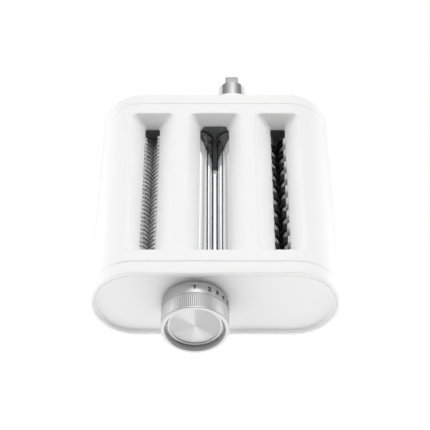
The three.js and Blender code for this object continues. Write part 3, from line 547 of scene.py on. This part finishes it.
def shell_sheet(inset, grow, soft):
    """One side of the shell's wall. Returns verts, faces and its open loops in a fixed order."""
    verts, faces = [], []

    def add(point):
        verts.append(point)
        return len(verts) - 1

    wells, loops = [], []
    for well, side in ((SIDE_WELL, -1), (MIDDLE_WELL, 1), (SIDE_WELL, 1)):
        columns = well_rings(well, side, inset, grow, soft)
        ids = [[add(p) for p in column] for column, _ in columns]
        for a, b in zip(ids, ids[1:] + ids[:1]):
            for k in range(len(a) - 1):
                faces.append((a[k], a[k + 1], b[k + 1], b[k]))
        outline = [support for _, support in columns]
        skin = [add(skin_point(s, y, inset)) for s, y in outline]
        for k in range(len(ids)):
            n = (k + 1) % len(ids)
            faces.append((ids[k][-1], skin[k], skin[n], ids[n][-1]))
        wells.append((outline, skin))
        loops.append([column[0] for column in ids])

    flat_end = HALF_FLAT + math.pi * R
    whole = flat_end + HALF_FLAT
    edge = 90.0
    opening = flat_end - R * math.asin((OPENING_HALF - HALF_FLAT) / R)
    front, rear = SHELL_FRONT + SEAM_EDGE, SHELL_REAR - SEAM_EDGE
    rows = [front, (front + OPENING[0]) / 2, *np.linspace(OPENING[0], OPENING[1], 15), rear]
    middle_s = sorted({
        *np.round(np.linspace(-edge, -HALF_FLAT, 16), 6),
        *np.round(np.linspace(-HALF_FLAT, HALF_FLAT, 11), 6),
        *np.round(np.linspace(HALF_FLAT, edge, 16), 6),
    })
    grid = {}

    def grid_vert(s, j):
        key = (round(s, 5), j)
        if key not in grid:
            grid[key] = add(skin_point(s, rows[j], inset))
        return grid[key]

    last = len(rows) - 1
    rim = [(s, 0) for s in middle_s] + [(edge, j) for j in range(1, last + 1)]
    rim += [(s, last) for s in reversed(middle_s[:-1])] + [(-edge, j) for j in range(last - 1, 0, -1)]
    outer = [(s, rows[j]) for s, j in rim]
    outer_ids = [grid_vert(s, j) for s, j in rim]
    extra, extra_ids = [], []
    for s in middle_s[1:-1]:
        for y in np.linspace(front, rear, 40)[1:-1]:
            if abs(s) <= HALF_FLAT + 0.1:
                continue
            near = any(
                inside((s + dx, y + dy), outline)
                for outline, _ in wells for dx in (-1.2, 0, 1.2) for dy in (-1.2, 0, 1.2)
            )
            if not near:
                extra.append((s, y))
                extra_ids.append(add(skin_point(s, y, inset)))
    ids = outer_ids + [i for _, skin in wells for i in skin] + extra_ids
    for tri in triangulate(outer, [outline for outline, _ in wells], extra):
        faces.append(tuple(ids[i] for i in tri))

    side_s = [*np.linspace(edge, opening, 45), *np.linspace(opening, flat_end, 6)[1:]]
    side_s += [*np.linspace(flat_end, whole, 6)[1:]]
    open_rows = range(2, last - 1)
    for sign in (1, -1):
        for a, b in zip(side_s, side_s[1:]):
            for j in range(last):
                if a >= opening - 1e-6 and j in open_rows:
                    continue
                corners = [(a, j), (b, j), (b, j + 1), (a, j + 1)]
                quad = [grid_vert(sign * s, jj) for s, jj in corners]
                faces.append(tuple(quad))
    around = [s for s in side_s[1:]]
    section = list(middle_s) + around + [-s for s in reversed(around[:-1])]
    section_ids = []
    for j, y in ((0, SHELL_FRONT), (last, SHELL_REAR)):
        inner = [grid_vert(s, j) for s in section]
        ends = [add(skin_point(s, y, inset + (SEAM_EDGE if inset == 0 else 0))) for s in section]
        for k in range(len(section)):
            n = (k + 1) % len(section)
            faces.append((inner[k], inner[n], ends[n], ends[k]))
        section_ids.append(ends)
    loops += section_ids
    bottom = [s for s in side_s if s >= opening - 1e-6]
    across = bottom + [-s for s in reversed(bottom[:-1])]
    hole = [grid_vert(s, 2) for s in across]
    hole += [grid_vert(-opening, j) for j in range(3, last - 1)]
    hole += [grid_vert(s, last - 1) for s in reversed(across)]
    hole += [grid_vert(opening, j) for j in range(last - 2, 2, -1)]
    loops.append(hole)
    return verts, faces, loops


def build_shell():
    outside = shell_sheet(0, 0, (1.7, 1.1, 1.4))
    within = shell_sheet(SKIN, SKIN, (0.8, 0.8, 0.8))
    verts = outside[0] + within[0]
    base = len(outside[0])
    faces = outside[1] + [tuple(i + base for i in reversed(f)) for f in within[1]]
    for a, b in zip(outside[2], within[2]):
        for k in range(len(a)):
            n = (k + 1) % len(a)
            faces.append((a[k], a[n], b[n] + base, b[k] + base))
    return make("housing_shell", verts, faces, WHITE, "housing", ["main_shell"], "white_plastic")


build_shell()

# ---------------------------------------------------------------- end caps


def stadium(inset, y, steps=40):
    points = []
    for side in (1, -1):
        for i in range(steps + 1):
            angle = -math.pi / 2 + math.pi * i / steps
            reach = R - inset
            x = side * (HALF_FLAT + reach * math.cos(angle))
            points.append((x, y, side * reach * math.sin(angle)))
    return points


def stadium_body(profile, holes, front_panel, wall):
    """A cap swept round the section: its outside profile, a flat panel with holes, and a wall."""
    verts, faces = [], []
    rings = []
    for inset, y in profile:
        start = len(verts)
        verts += stadium(inset, y)
        rings.append(list(range(start, len(verts))))
    for i, (a, b) in enumerate(zip(rings, rings[1:])):
        if i == front_panel:
            continue
        for k in range(len(a)):
            n = (k + 1) % len(a)
            faces.append((a[k], a[n], b[n], b[k]))
    sheets = []
    for ring, y in ((rings[front_panel], profile[front_panel][1]), (rings[wall], profile[wall][1])):
        outline = [(verts[i][0], verts[i][2]) for i in ring]
        ids = list(ring)
        hole_ids = []
        for loop in holes:
            start = len(verts)
            verts += [(x, y, z) for x, z in loop]
            hole_ids.append(list(range(start, len(verts))))
            ids += hole_ids[-1]
        for tri in triangulate(outline, holes):
            faces.append(tuple(ids[i] for i in tri))
        sheets.append(hole_ids)
    for a, b in zip(*sheets):
        for k in range(len(a)):
            n = (k + 1) % len(a)
            faces.append((a[k], a[n], b[n], b[k]))
    return verts, faces


def circle(radius, x=0.0, z=0.0, count=64):
    turn = 2 * math.pi / count
    return [(x + radius * math.cos(turn * i), z + radius * math.sin(turn * i)) for i in range(count)]


def stop_slot():
    """The curved slot behind the knob in which its stop pin runs."""
    start, end = -math.pi / 2 - 0.22, -math.pi / 2 + math.radians(116.4) + 0.22
    angles = np.linspace(start, end, 30)
    outer = [(ADJUSTABLE_X + 17.1 * math.cos(a), 17.1 * math.sin(a)) for a in angles]
    inner = [(ADJUSTABLE_X + 12.9 * math.cos(a), 12.9 * math.sin(a)) for a in reversed(angles)]
    return outer + inner


def front_cap():
    floor = RIM_DEPTH
    profile = fillet(
        [
            (SKIN, CAP_REAR), (SEAM_EDGE, CAP_REAR, 0), (0, CAP_REAR - SEAM_EDGE, 0), (0, 6, 0),
            (0, 0, 1.5), (RIM_WIDTH - 1.0, 0, 0.1), (RIM_WIDTH - 0.9, 0.8, 0), (RIM_WIDTH - 0.45, 0.8, 0),
            (RIM_WIDTH - 0.35, 0.05, 0.1), (RIM_WIDTH, 0.05, 0.3), (RIM_WIDTH + 0.35, floor, 0.7),
            (RIM_WIDTH + 3, floor, 0),
        ],
        0.5, steps=6,
    )
    panel = len(profile) - 1
    inner = [(SKIN, floor + SKIN), (SKIN, CAP_REAR)]
    verts, faces = stadium_body(
        profile + inner, [circle(4.4, ADJUSTABLE_X), stop_slot()], panel, panel + 1,
    )
    return make("front_cap", verts, faces, WHITE, "housing", ["front_end_cap"], "white_plastic")


def rear_cap():
    profile = fillet(
        [
            (SKIN, REAR_CAP_FRONT), (SEAM_EDGE, REAR_CAP_FRONT, 0),
            (0, REAR_CAP_FRONT + SEAM_EDGE, 0), (0, REAR_CAP_FRONT + 5, 0),
            (0, REAR_FACE, 1.5), (8, REAR_FACE, 0),
        ],
        0.5, steps=8,
    )
    panel = len(profile) - 1
    inner = [(SKIN, REAR_FACE - SKIN), (SKIN, REAR_CAP_FRONT)]
    verts, faces = stadium_body(profile + inner, [circle(26.3, FIXED_X, count=96)], panel, panel + 1)
    return make("rear_cap", verts, faces, WHITE, "housing", ["rear_end_cap"], "white_plastic")


front_cap()
rear_cap()

# ---------------------------------------------------------------- knob

KNOB_R = 27.0
KNOB_FRONT = local(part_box("knob_grip")[0]).y
KNOB_BACK = local(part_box("dial_ring")[1]).y
DIAL_SPLIT = local(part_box("knob_grip")[1]).y + 0.15
KNOB_WALL = 2.8
DISC_Y = KNOB_FRONT + 4.3
DISC_R = 22.1
FLUTES = 104
FLUTE_DEPTH = 0.6


def knob():
    lip = KNOB_R - KNOB_WALL
    dial = fillet(
        [
            (2.8, DIAL_SPLIT + 3), (7.5, DIAL_SPLIT + 3), (7.5, KNOB_BACK - 2.2), (lip, KNOB_BACK - 2.2),
            (lip, DIAL_SPLIT + 0.15, 0.1), (KNOB_R, DIAL_SPLIT + 0.15, 0.35),
            (KNOB_R, KNOB_BACK, 0.9), (2.8, KNOB_BACK, 0.1),
        ],
        0.4, steps=4, closed=True,
    )
    body = make("dial_body", *lathe(dial, ADJUSTABLE_X, 0, 144, closed=True), DIAL, "knob",
                ["dial_ring"], "satin_aluminium")
    # Painted shade: a thin dark band round the dial's rear edge, where shade falls between the knob and the
    # panel.
    banded(body, KNOB_BACK - 0.4, KNOB_BACK + 0.1, DARK)

    front_band = KNOB_FRONT + 1.5
    rear_band = DIAL_SPLIT - 0.55

    def flute(angle, r, y):
        if r < KNOB_R - 0.01 or not front_band < y < rear_band:
            return 0
        ends = min(1, (y - front_band) / 0.5, (rear_band - y) / 0.4)
        return FLUTE_DEPTH * ends * (0.5 + 0.5 * math.cos(FLUTES * angle)) ** 2

    seat = KNOB_FRONT + 6.7
    rows = [front_band, front_band + 0.25, front_band + 0.55, *np.linspace(front_band + 2, rear_band - 2, 5)]
    rows += [rear_band - 0.5, rear_band - 0.2, rear_band]
    grip = [
        (lip - 1.5, seat + 2), (17.1, seat + 2), (17.1, seat), (lip, seat, 0.5),
        (lip, KNOB_FRONT, 0.5), (KNOB_R, KNOB_FRONT, 0.8),
    ]
    grip += [(KNOB_R, float(y), 0) for y in rows]
    grip += [(KNOB_R, DIAL_SPLIT - 0.15, 0.25), (lip - 1.5, DIAL_SPLIT - 0.15, 0.2)]
    profile = fillet(grip, 0.2, steps=4, closed=True)
    fluted = lathe(profile, ADJUSTABLE_X, 0, FLUTES * 6, closed=True, depth=flute)
    ring = make("knob_grip_ring", *fluted, SATIN, "knob", ["knob_grip"], "satin_aluminium")
    for finish in (KNURL, KNURL_VALLEY, CHANNEL):
        ring.data.materials.append(finish)
    for polygon in ring.data.polygons:
        centre = local(polygon.center)
        radius = math.hypot(centre.x - ADJUSTABLE_X, centre.z)
        if radius < lip + 0.04 and centre.y > KNOB_FRONT + 0.3:
            polygon.material_index = 3
        elif radius > lip + 1 and centre.y > front_band:
            polygon.material_index = 1 if radius > KNOB_R - FLUTE_DEPTH * 0.45 else 2

    dish = fillet(
        [
            (0, DISC_Y + 0.8), (DISC_R - 2.35, DISC_Y + 0.8, 0), (DISC_R - 2.3, DISC_Y + 1.3, 0),
            (DISC_R - 1.95, DISC_Y + 1.3, 0), (DISC_R - 1.9, DISC_Y, 0.35),
            (DISC_R, DISC_Y, 0.6), (DISC_R, DISC_Y + 2.1), (0, DISC_Y + 2.1),
        ],
        0.3, steps=5,
    )
    disc = make("knob_spun_disc", *lathe(dish, ADJUSTABLE_X, 0, 144), SPUN, "knob", ["knob_face_disc"],
                "satin_aluminium")
    disc.data.materials.append(SATIN)
    for polygon in disc.data.polygons:
        centre = local(polygon.center)
        if math.hypot(centre.x - ADJUSTABLE_X, centre.z) > DISC_R - 2.35:
            polygon.material_index = 1


# Clockwise places of the dial's numbers, seen from the front, in degrees from the top.
NUMBER_PLACES = [-1.0, 25.2, 40.4, 55.5, 70.8, 86.0, 101.2, 116.4]
NUMBER_HEIGHT = 4.6
NUMBER_Y = -6.1
FLAGGED_ONE = [(0.2, 0), (0.41, 0), (0.41, 1), (0.26, 1), (0, 0.82), (0, 0.62), (0.2, 0.74)]


def dial_numbers():
    verts, faces = [], []
    for index, place in enumerate(NUMBER_PLACES):
        curve = bpy.data.curves.new("number", "FONT")
        curve.body = str(index + 1)
        curve.align_x = "CENTER"
        curve.offset = 0.05
        curve.resolution_u = 4
        text = bpy.data.objects.new("number", curve)
        bpy.context.scene.collection.objects.link(text)
        bpy.context.view_layer.update()
        flat = text.evaluated_get(bpy.context.evaluated_depsgraph_get()).to_mesh()
        points = [(v.co.x, v.co.y) for v in flat.vertices]
        cells = [tuple(p.vertices) for p in flat.polygons]
        bpy.data.objects.remove(text)
        if index == 0:
            points, cells = FLAGGED_ONE, triangulate(FLAGGED_ONE, [])
        xs, ys = [p[0] for p in points], [p[1] for p in points]
        scale = NUMBER_HEIGHT / (max(ys) - min(ys))
        mid_x, mid_y = (max(xs) + min(xs)) / 2, (max(ys) + min(ys)) / 2
        edges = {}
        for cell in cells:
            for a, b in zip(cell, cell[1:] + cell[:1]):
                edges[(a, b)] = True
        rim = [(a, b) for a, b in edges if (b, a) not in edges]
        base = len(verts)
        for radius in (KNOB_R + 0.05, KNOB_R - 0.08):
            for x, y in points:
                angle = math.radians(place) + (x - mid_x) * scale / KNOB_R
                verts.append((
                    ADJUSTABLE_X + radius * math.sin(angle), NUMBER_Y + (y - mid_y) * scale,
                    radius * math.cos(angle),
                ))
        count = len(points)
        faces += [tuple(base + i for i in cell) for cell in cells]
        faces += [tuple(base + count + i for i in reversed(cell)) for cell in cells]
        faces += [(base + b, base + a, base + count + a, base + count + b) for a, b in rim]
    make("dial_numbers", verts, faces, INK, "knob", sharp=30)


knob()
dial_numbers()

# ---------------------------------------------------------------- mixer coupling

BOSS_FACE = local(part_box("hub_boss")[1]).y
BARREL_END = local(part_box("hub_barrel")[1]).y
SHANK_END = local(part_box("drive_shaft")[1]).y
TRAIN_REAR = 213.4
BARREL_R = 12.7
BARREL_BORE = 9
LOCK_HOLE_Y = 252
LOCK_HOLE_R = 3.2
HOLE_SIDES = 48
SHANK_HALF = 5.85
SHANK_CUT = 1.1


def hub():
    boss = fillet(
        [
            (13, 216.6), (30, 216.6), (30, REAR_FACE - 2.9), (26, REAR_FACE - 2.9, 0.5),
            (26, BOSS_FACE, 2.0), (13, BOSS_FACE, 0.6),
        ],
        0.5, steps=6, closed=True,
    )
    make("boss", *lathe(boss, FIXED_X, 0, 128, closed=True), WHITE, "housing", ["hub_boss"], "white_plastic")

    barrel = fillet(
        [
            (BARREL_BORE, TRAIN_REAR + 1.7), (19, TRAIN_REAR + 1.7), (19, TRAIN_REAR + 2.9),
            (BARREL_R, TRAIN_REAR + 2.9, 0.3), (BARREL_R, 244.0, 0), (BARREL_R - 0.25, 244.3, 0),
            (BARREL_R - 0.25, 245.0, 0), (BARREL_R, 245.3, 0), (BARREL_R, BARREL_END, 1.2),
            (BARREL_BORE, BARREL_END, 0.5),
        ],
        0.4, steps=5, closed=True,
    )
    piece = make("barrel", *lathe(barrel, FIXED_X, 0, 128, closed=True), BARREL, "housing", ["hub_barrel"],
                 "polished_steel")
    drill_verts = []
    for x in (-14.5, -6.0):
        drill_verts += [(FIXED_X + x, LOCK_HOLE_Y + y, z) for y, z in circle(LOCK_HOLE_R, count=HOLE_SIDES)]
    sides = [
        (k, (k + 1) % HOLE_SIDES, HOLE_SIDES + (k + 1) % HOLE_SIDES, HOLE_SIDES + k)
        for k in range(HOLE_SIDES)
    ]
    caps = [tuple(reversed(range(HOLE_SIDES))), tuple(range(HOLE_SIDES, 2 * HOLE_SIDES))]
    drill = make("drill", drill_verts, sides + caps, STEEL, "housing")
    cut = piece.modifiers.new("lock_hole", "BOOLEAN")
    cut.operation = "DIFFERENCE"
    cut.solver = "EXACT"
    cut.object = drill
    graph = bpy.context.evaluated_depsgraph_get()
    holed = bpy.data.meshes.new_from_object(piece.evaluated_get(graph))
    piece.modifiers.clear()
    piece.data = holed
    piece.data.set_sharp_from_angle(angle=math.radians(35))
    bpy.data.objects.remove(drill)

    shaft = fillet(
        [
            (0, 14.2), (6, 14.2, 0.5), (6, TRAIN_REAR + 1), (6.6, TRAIN_REAR + 1), (6.6, 272.4, 0.4),
            (0, 272.4),
        ],
        0.2, steps=4,
    )
    section = []
    for sx, sz in ((1, 1), (-1, 1), (-1, -1), (1, -1)):
        flat = SHANK_HALF - SHANK_CUT
        pair = [(sx * SHANK_HALF, sz * flat), (sx * flat, sz * SHANK_HALF)]
        section += pair if sx * sz > 0 else pair[::-1]
    rounded = fillet([(x, z, 0.5) for x, z in section], 0.5, steps=3, closed=True)
    verts, faces = [], []
    rings = []
    stations = [(271.5, 1.0), (SHANK_END - 1.0, 1.0), (SHANK_END - 0.5, 0.98), (SHANK_END, 0.92)]
    for y, size in stations:
        rings.append(list(range(len(verts), len(verts) + len(rounded))))
        verts += [(FIXED_X + x * size, y, z * size) for x, z in rounded]
    for a, b in zip(rings, rings[1:]):
        for k in range(len(a)):
            n = (k + 1) % len(a)
            faces.append((a[k], a[n], b[n], b[k]))
    faces += [tuple(reversed(rings[0])), tuple(rings[-1])]
    make("square_drive_shaft", *moved_join([lathe(shaft, FIXED_X, 0, 96), (verts, faces)]), STEEL, "drive",
         ["drive_shaft"], "polished_steel")


hub()

# ---------------------------------------------------------------- rollers and cutter rolls

ROLLER_R = 14.5
ROLLER = (30.3, 198.0)
END_BAND = 1.7
COMB_RAIL = 3.6


def sheet_rollers():
    front, rear = ROLLER
    fixed = fillet(
        [
            (6.3, front), (ROLLER_R - 0.7, front), (ROLLER_R, front + 0.7), (ROLLER_R, rear - END_BAND, 0),
            (ROLLER_R - 0.25, rear - END_BAND + 0.1, 0), (ROLLER_R - 0.25, rear - 0.4),
            (ROLLER_R - 0.8, rear), (6.3, rear),
        ],
        0.3, steps=3, closed=True,
    )
    a = make("fixed_sheet_roller", *lathe(fixed, FIXED_X, 0, 160, closed=True), CHROME, "drive",
             ["fixed_roller"], "polished_steel")
    moving = fillet(
        [
            (5.2, 16.9), (7, 16.9), (7, front), (ROLLER_R - 0.7, front), (ROLLER_R, front + 0.7),
            (ROLLER_R, rear - END_BAND, 0), (ROLLER_R - 0.25, rear - END_BAND + 0.1, 0),
            (ROLLER_R - 0.25, rear - 0.4), (ROLLER_R - 0.8, rear), (7, rear), (7, 202.4), (5.2, 202.4),
        ],
        0.3, steps=3, closed=True,
    )
    b = make("moving_sheet_roller", *lathe(moving, ADJUSTABLE_X, 0, 160, closed=True), CHROME,
             "moving_roller", ["adjustable_roller"], "polished_steel")
    # Both rollers are dark over the last END_BAND mm of their rear ends.
    for piece in (a, b):
        banded(piece, rear - END_BAND, rear + 0.1, DARK)


DISC_R_CUT = 10.5
GROOVE_R = 8.6
FINE = {"pitch": 4.9, "flutes": 40, "depth": 0.22, "edge": 0.16, "core": CUTTER}
WIDE = {"pitch": 15.4, "flutes": 26, "depth": 0.7, "edge": 0.3, "core": CORE}


def cutter_roll(name, node, body, kind, first, count, material, slot):
    x, _, front, rear = axis_of(node)
    x = round(x, 3)
    disc = kind["pitch"] / 2 - 0.15
    line = [(0, front), (4, front, 0.3), (4, 30.4, 0), (GROOVE_R, 30.4, 0.2)]
    for i in range(count):
        start = first + i * kind["pitch"] - disc / 2
        line += [
            (GROOVE_R, start, 0), (DISC_R_CUT, start, kind["edge"]),
            (DISC_R_CUT, start + disc, kind["edge"]), (GROOVE_R, start + disc, 0),
        ]
    line += [(GROOVE_R, 198, 0.2), (4, 198, 0), (4, rear, 0.3), (0, rear)]

    def flute(angle, r, y):
        if r < GROOVE_R - 0.05:
            return 0
        share = 1 if r > DISC_R_CUT - 0.4 else 0.6
        return kind["depth"] * share * (0.5 + 0.5 * math.cos(kind["flutes"] * angle)) ** 2

    profile = fillet(line, 0.2, steps=2)
    piece = make(
        name, *lathe(profile, x, 0, kind["flutes"] * 4, depth=flute), material, body, [node], slot, sharp=28,
    )
    piece.data.materials.append(kind["core"])
    for polygon in piece.data.polygons:
        centre = local(polygon.center)
        if math.hypot(centre.x - x, centre.z) < GROOVE_R + 0.1:
            polygon.material_index = 1


def prism(outline, front, rear):
    count = len(outline)
    verts = [(x, front, z) for x, z in outline] + [(x, rear, z) for x, z in outline]
    faces = [(k, (k + 1) % count, count + (k + 1) % count, count + k) for k in range(count)]
    faces += [tuple(reversed(range(count))), tuple(range(count, 2 * count))]
    return verts, faces


def comb(name, node, kind, first, count, side, tip, top):
    """The rail under the slot's lip, with a finger in each groove of the roll beside it."""
    low, high = (local(p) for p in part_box(node))
    rail = (high.x if side > 0 else low.x) - side * COMB_RAIL
    centre = rail - side * 6.7
    roll = 10.0

    def on_arc(u, radius):
        return math.sqrt(radius**2 - (roll - u) ** 2)

    under = [(u, on_arc(u, GROOVE_R + 0.3)) for u in np.linspace(tip, 7.6, 7)]
    section = fillet([*under, (7.6, 17.1), (6.9, 17.1), (tip, top)], 0.15, steps=2, closed=True)
    half = (kind["pitch"] / 2 + 0.15) / 2 - 0.25
    bar = fillet([(6.7, 10.9), (10.3, 10.9), (10.3, 17.3), (6.7, 17.3)], 0.4, steps=3, closed=True)
    parts = [prism([(centre + side * u, z) for u, z in bar], low.y, high.y)]
    for i in range(count):
        middle = first + i * kind["pitch"]
        parts.append(prism([(centre + side * u, z) for u, z in section], middle - half, middle + half))
    make(name, *moved_join(parts), WHITE, "housing", [node], "white_plastic", sharp=40)


sheet_rollers()
cutter_roll("fine_roll_a", "fine_roll_inner", "fine_inner", FINE, 33.2, 32, CUTTER, "cutter_steel")
cutter_roll("fine_roll_b", "fine_roll_outer", "fine_outer", FINE, 35.65, 32, CUTTER, "cutter_steel")
cutter_roll("wide_roll_a", "wide_roll_inner", "wide_inner", WIDE, 43.5, 10, BLACK, "black_steel")
cutter_roll("wide_roll_b", "wide_roll_outer", "wide_outer", WIDE, 35.8, 11, BLACK, "black_steel")

comb("fine_comb_a", "fine_comb_inner", FINE, 35.65, 32, 1, 4.3, 15.5)
comb("fine_comb_b", "fine_comb_outer", FINE, 33.2, 32, -1, 4.8, 15.5)
comb("wide_comb_a", "wide_comb_inner", WIDE, 35.8, 11, -1, 5.4, 10.5)
comb("wide_comb_b", "wide_comb_outer", WIDE, 43.5, 10, 1, 4.7, 15.5)

# ---------------------------------------------------------------- underside


def cover_screw(node):
    """A countersunk screw with a six-sided socket, seen from below."""
    low, high = (local(p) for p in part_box(node))
    x, y, z = (low.x + high.x) / 2, (low.y + high.y) / 2, low.z
    turns = [2 * math.pi * k / 48 for k in range(48)]

    def six(angle):
        return math.cos(math.pi / 6) / math.cos((angle + math.pi / 6) % (math.pi / 3) - math.pi / 6)

    stations = [
        (0.0, 1.3, False), (1.75, 1.3, True), (1.75, 0.15, True), (1.95, 0.0, True), (3.25, 0.0, False),
        (3.4, 0.12, False), (3.6, 1.3, False), (1.9, 1.3, False), (1.9, 7.6, False), (1.5, 8.0, False),
        (0.0, 8.0, False),
    ]
    verts, faces, rings = [], [], []
    for radius, rise, flats in stations:
        if radius == 0:
            rings.append([len(verts)] * 48)
            verts.append((x, y, z + rise))
            continue
        rings.append(list(range(len(verts), len(verts) + 48)))
        for angle in turns:
            reach = radius * (six(angle) if flats else 1)
            verts.append((x + reach * math.cos(angle), y + reach * math.sin(angle), z + rise))
    for a, b in zip(rings, rings[1:]):
        for k in range(48):
            n = (k + 1) % 48
            corners = dict.fromkeys((a[k], a[n], b[n], b[k]))
            faces.append(tuple(corners))
    make(f"{node}_head", verts, faces, ZINC, "housing", [node], "zinc", sharp=30)


for row in frame["record"]["subparts"]:
    name = row["node"]
    if name.startswith("cover_screw"):
        cover_screw(name)
    elif name == "outlet_cover" or name.endswith("_plate") or name.startswith("tie_rod"):
        soften = frame["nodes"][name].modifiers.new("soft_edges", "BEVEL")
        soften.width = 0.35 * MM
        soften.segments = 2
        soften.limit_method = "ANGLE"
        soften.angle_limit = math.radians(40)

# ---------------------------------------------------------------- stage, light and camera

scene = bpy.context.scene
scene.view_settings.view_transform = "Standard"


FLOOR_FRONT = 1.42
FLOOR_REAR = 0.9
FLOOR_GLOSS = 1.0


def graph_maths(tree):
    """A shorthand for Math nodes in one node tree: maths(operation, first, second)."""
    def maths(operation, first, second):
        node = tree.nodes.new("ShaderNodeMath")
        node.operation = operation
        for socket, value in zip(node.inputs, (first, second)):
            if isinstance(value, (int, float)):
                socket.default_value = value
            else:
                tree.links.new(value, socket)
        return node.outputs[0]
    return maths


def polished_view(path, maths):
    """1 for what a polished surface mirrors straight to the eye, 0 for the light that falls on things."""
    first = maths("SUBTRACT", 1, maths("MINIMUM", path.outputs["Diffuse Depth"], 1))
    return maths("MULTIPLY", path.outputs["Is Glossy Ray"], first)


def floor():
    mesh = bpy.data.meshes.new("floor")
    size = 6.0
    mesh.from_pydata(
        [(-size, -size, 0), (size, -size, 0), (size, size, 0), (-size, size, 0)], [], [(0, 1, 2, 3)],
    )
    obj = bpy.data.objects.new("floor", mesh)
    scene.collection.objects.link(obj)
    obj.location.z = cad_low.z - 0.0005
    mat = bpy.data.materials.new("floor_white")
    mat.use_nodes = True
    tree = mat.node_tree
    tree.nodes.clear()
    out = tree.nodes.new("ShaderNodeOutputMaterial")
    glow = tree.nodes.new("ShaderNodeEmission")
    maths = graph_maths(tree)
    coords = tree.nodes.new("ShaderNodeTexCoord")
    split = tree.nodes.new("ShaderNodeSeparateXYZ")
    tree.links.new(coords.outputs["Object"], split.inputs[0])
    x, y = split.outputs["X"], split.outputs["Y"]
    path = tree.nodes.new("ShaderNodeLightPath")
    middle = at(0, 110, 0).y
    # Painted shadow: in what polished surfaces mirror, the floor glows less under and round the object, as
    # if the object shaded it.
    beside = maths("MAXIMUM", maths("SUBTRACT", maths("ABSOLUTE", x, 0), 0.09),
                   maths("SUBTRACT", maths("ABSOLUTE", maths("SUBTRACT", y, middle), 0), 0.1))
    shade = maths("MINIMUM", maths("MAXIMUM", maths("MULTIPLY", beside, 25), 0.04), 1)
    ahead = maths("MINIMUM", maths("MAXIMUM", maths("MULTIPLY", y, -10), 0), 1)
    given = maths("ADD", FLOOR_REAR, maths("MULTIPLY", ahead, FLOOR_FRONT - FLOOR_REAR))
    mirrored = polished_view(path, maths)
    lit = maths("ADD", maths("MULTIPLY", maths("SUBTRACT", 1, mirrored), given),
                maths("MULTIPLY", mirrored, maths("MULTIPLY", shade, FLOOR_GLOSS)))
    tree.links.new(maths("MAXIMUM", lit, path.outputs["Is Camera Ray"]), glow.inputs["Strength"])
    tree.links.new(glow.outputs["Emission"], out.inputs["Surface"])
    mesh.materials.append(mat)


floor()

# Soft lights far away: the direction each shines from, its brightness and how narrow it is.
SKY = [
    ((-1, 0, 0.1), 2.7, 8), ((1, 0, 0.1), 1.4, 8), ((0, 0.85, 0.5), 0.42, 8), ((0.5, 0, 0.85), 0.2, 8),
    ((-0.6, -0.6, 0.5), 0.33, 8), ((0, 1, 0.25), 1.55, 8), ((-0.8, 0, 0.6), 2.15, 8),
    ((0.8, 0, 0.6), 2.9, 8),
]
# What polished surfaces see: a bright strip behind and above, and a dim room.
ROOM = [
    ((0.08, 0.73, 0.68), 0.9, 30), ((0, 0.73, 0.68), 0.75, 6), ((0, 0, 1), 0.2, 2),
    ((-1, 0, 0.2), 0.45, 6), ((1, 0, 0.2), 0.35, 6),
]
ROOM_LEVEL = 0.2


def studio():
    world = bpy.data.worlds.new("studio")
    scene.world = world
    world.use_nodes = True
    tree = world.node_tree
    maths = graph_maths(tree)
    coords = tree.nodes.new("ShaderNodeTexCoord")

    def lights(lobes, level):
        total = level
        for direction, strength, power in lobes:
            dot = tree.nodes.new("ShaderNodeVectorMath")
            dot.operation = "DOT_PRODUCT"
            dot.inputs[1].default_value = Vector(direction).normalized()
            tree.links.new(coords.outputs["Generated"], dot.inputs[0])
            lobe = maths("POWER", maths("MAXIMUM", dot.outputs["Value"], 0), power)
            total = maths("ADD", maths("MULTIPLY", lobe, strength), total)
        return total

    path = tree.nodes.new("ShaderNodeLightPath")
    glossy = polished_view(path, maths)
    sky = maths("ADD", maths("MULTIPLY", glossy, lights(ROOM, ROOM_LEVEL)),
                maths("MULTIPLY", maths("SUBTRACT", 1, glossy), lights(SKY, 0)))
    seen = maths("MAXIMUM", sky, path.outputs["Is Camera Ray"])
    tree.links.new(seen, tree.nodes["Background"].inputs["Strength"])
    tree.nodes["Background"].inputs["Color"].default_value = (1, 1, 1, 1)


studio()

camera = bpy.data.objects.new("camera", bpy.data.cameras.new("camera"))
scene.collection.objects.link(camera)
camera.location = (-0.00014, -0.94396, 0.90626)
camera.rotation_euler = (math.radians(46.58), 0, 0)
camera.data.sensor_width = 36
camera.data.lens = 124.88
camera.data.clip_start = 0.01
camera.data.clip_end = 50
scene.camera = camera
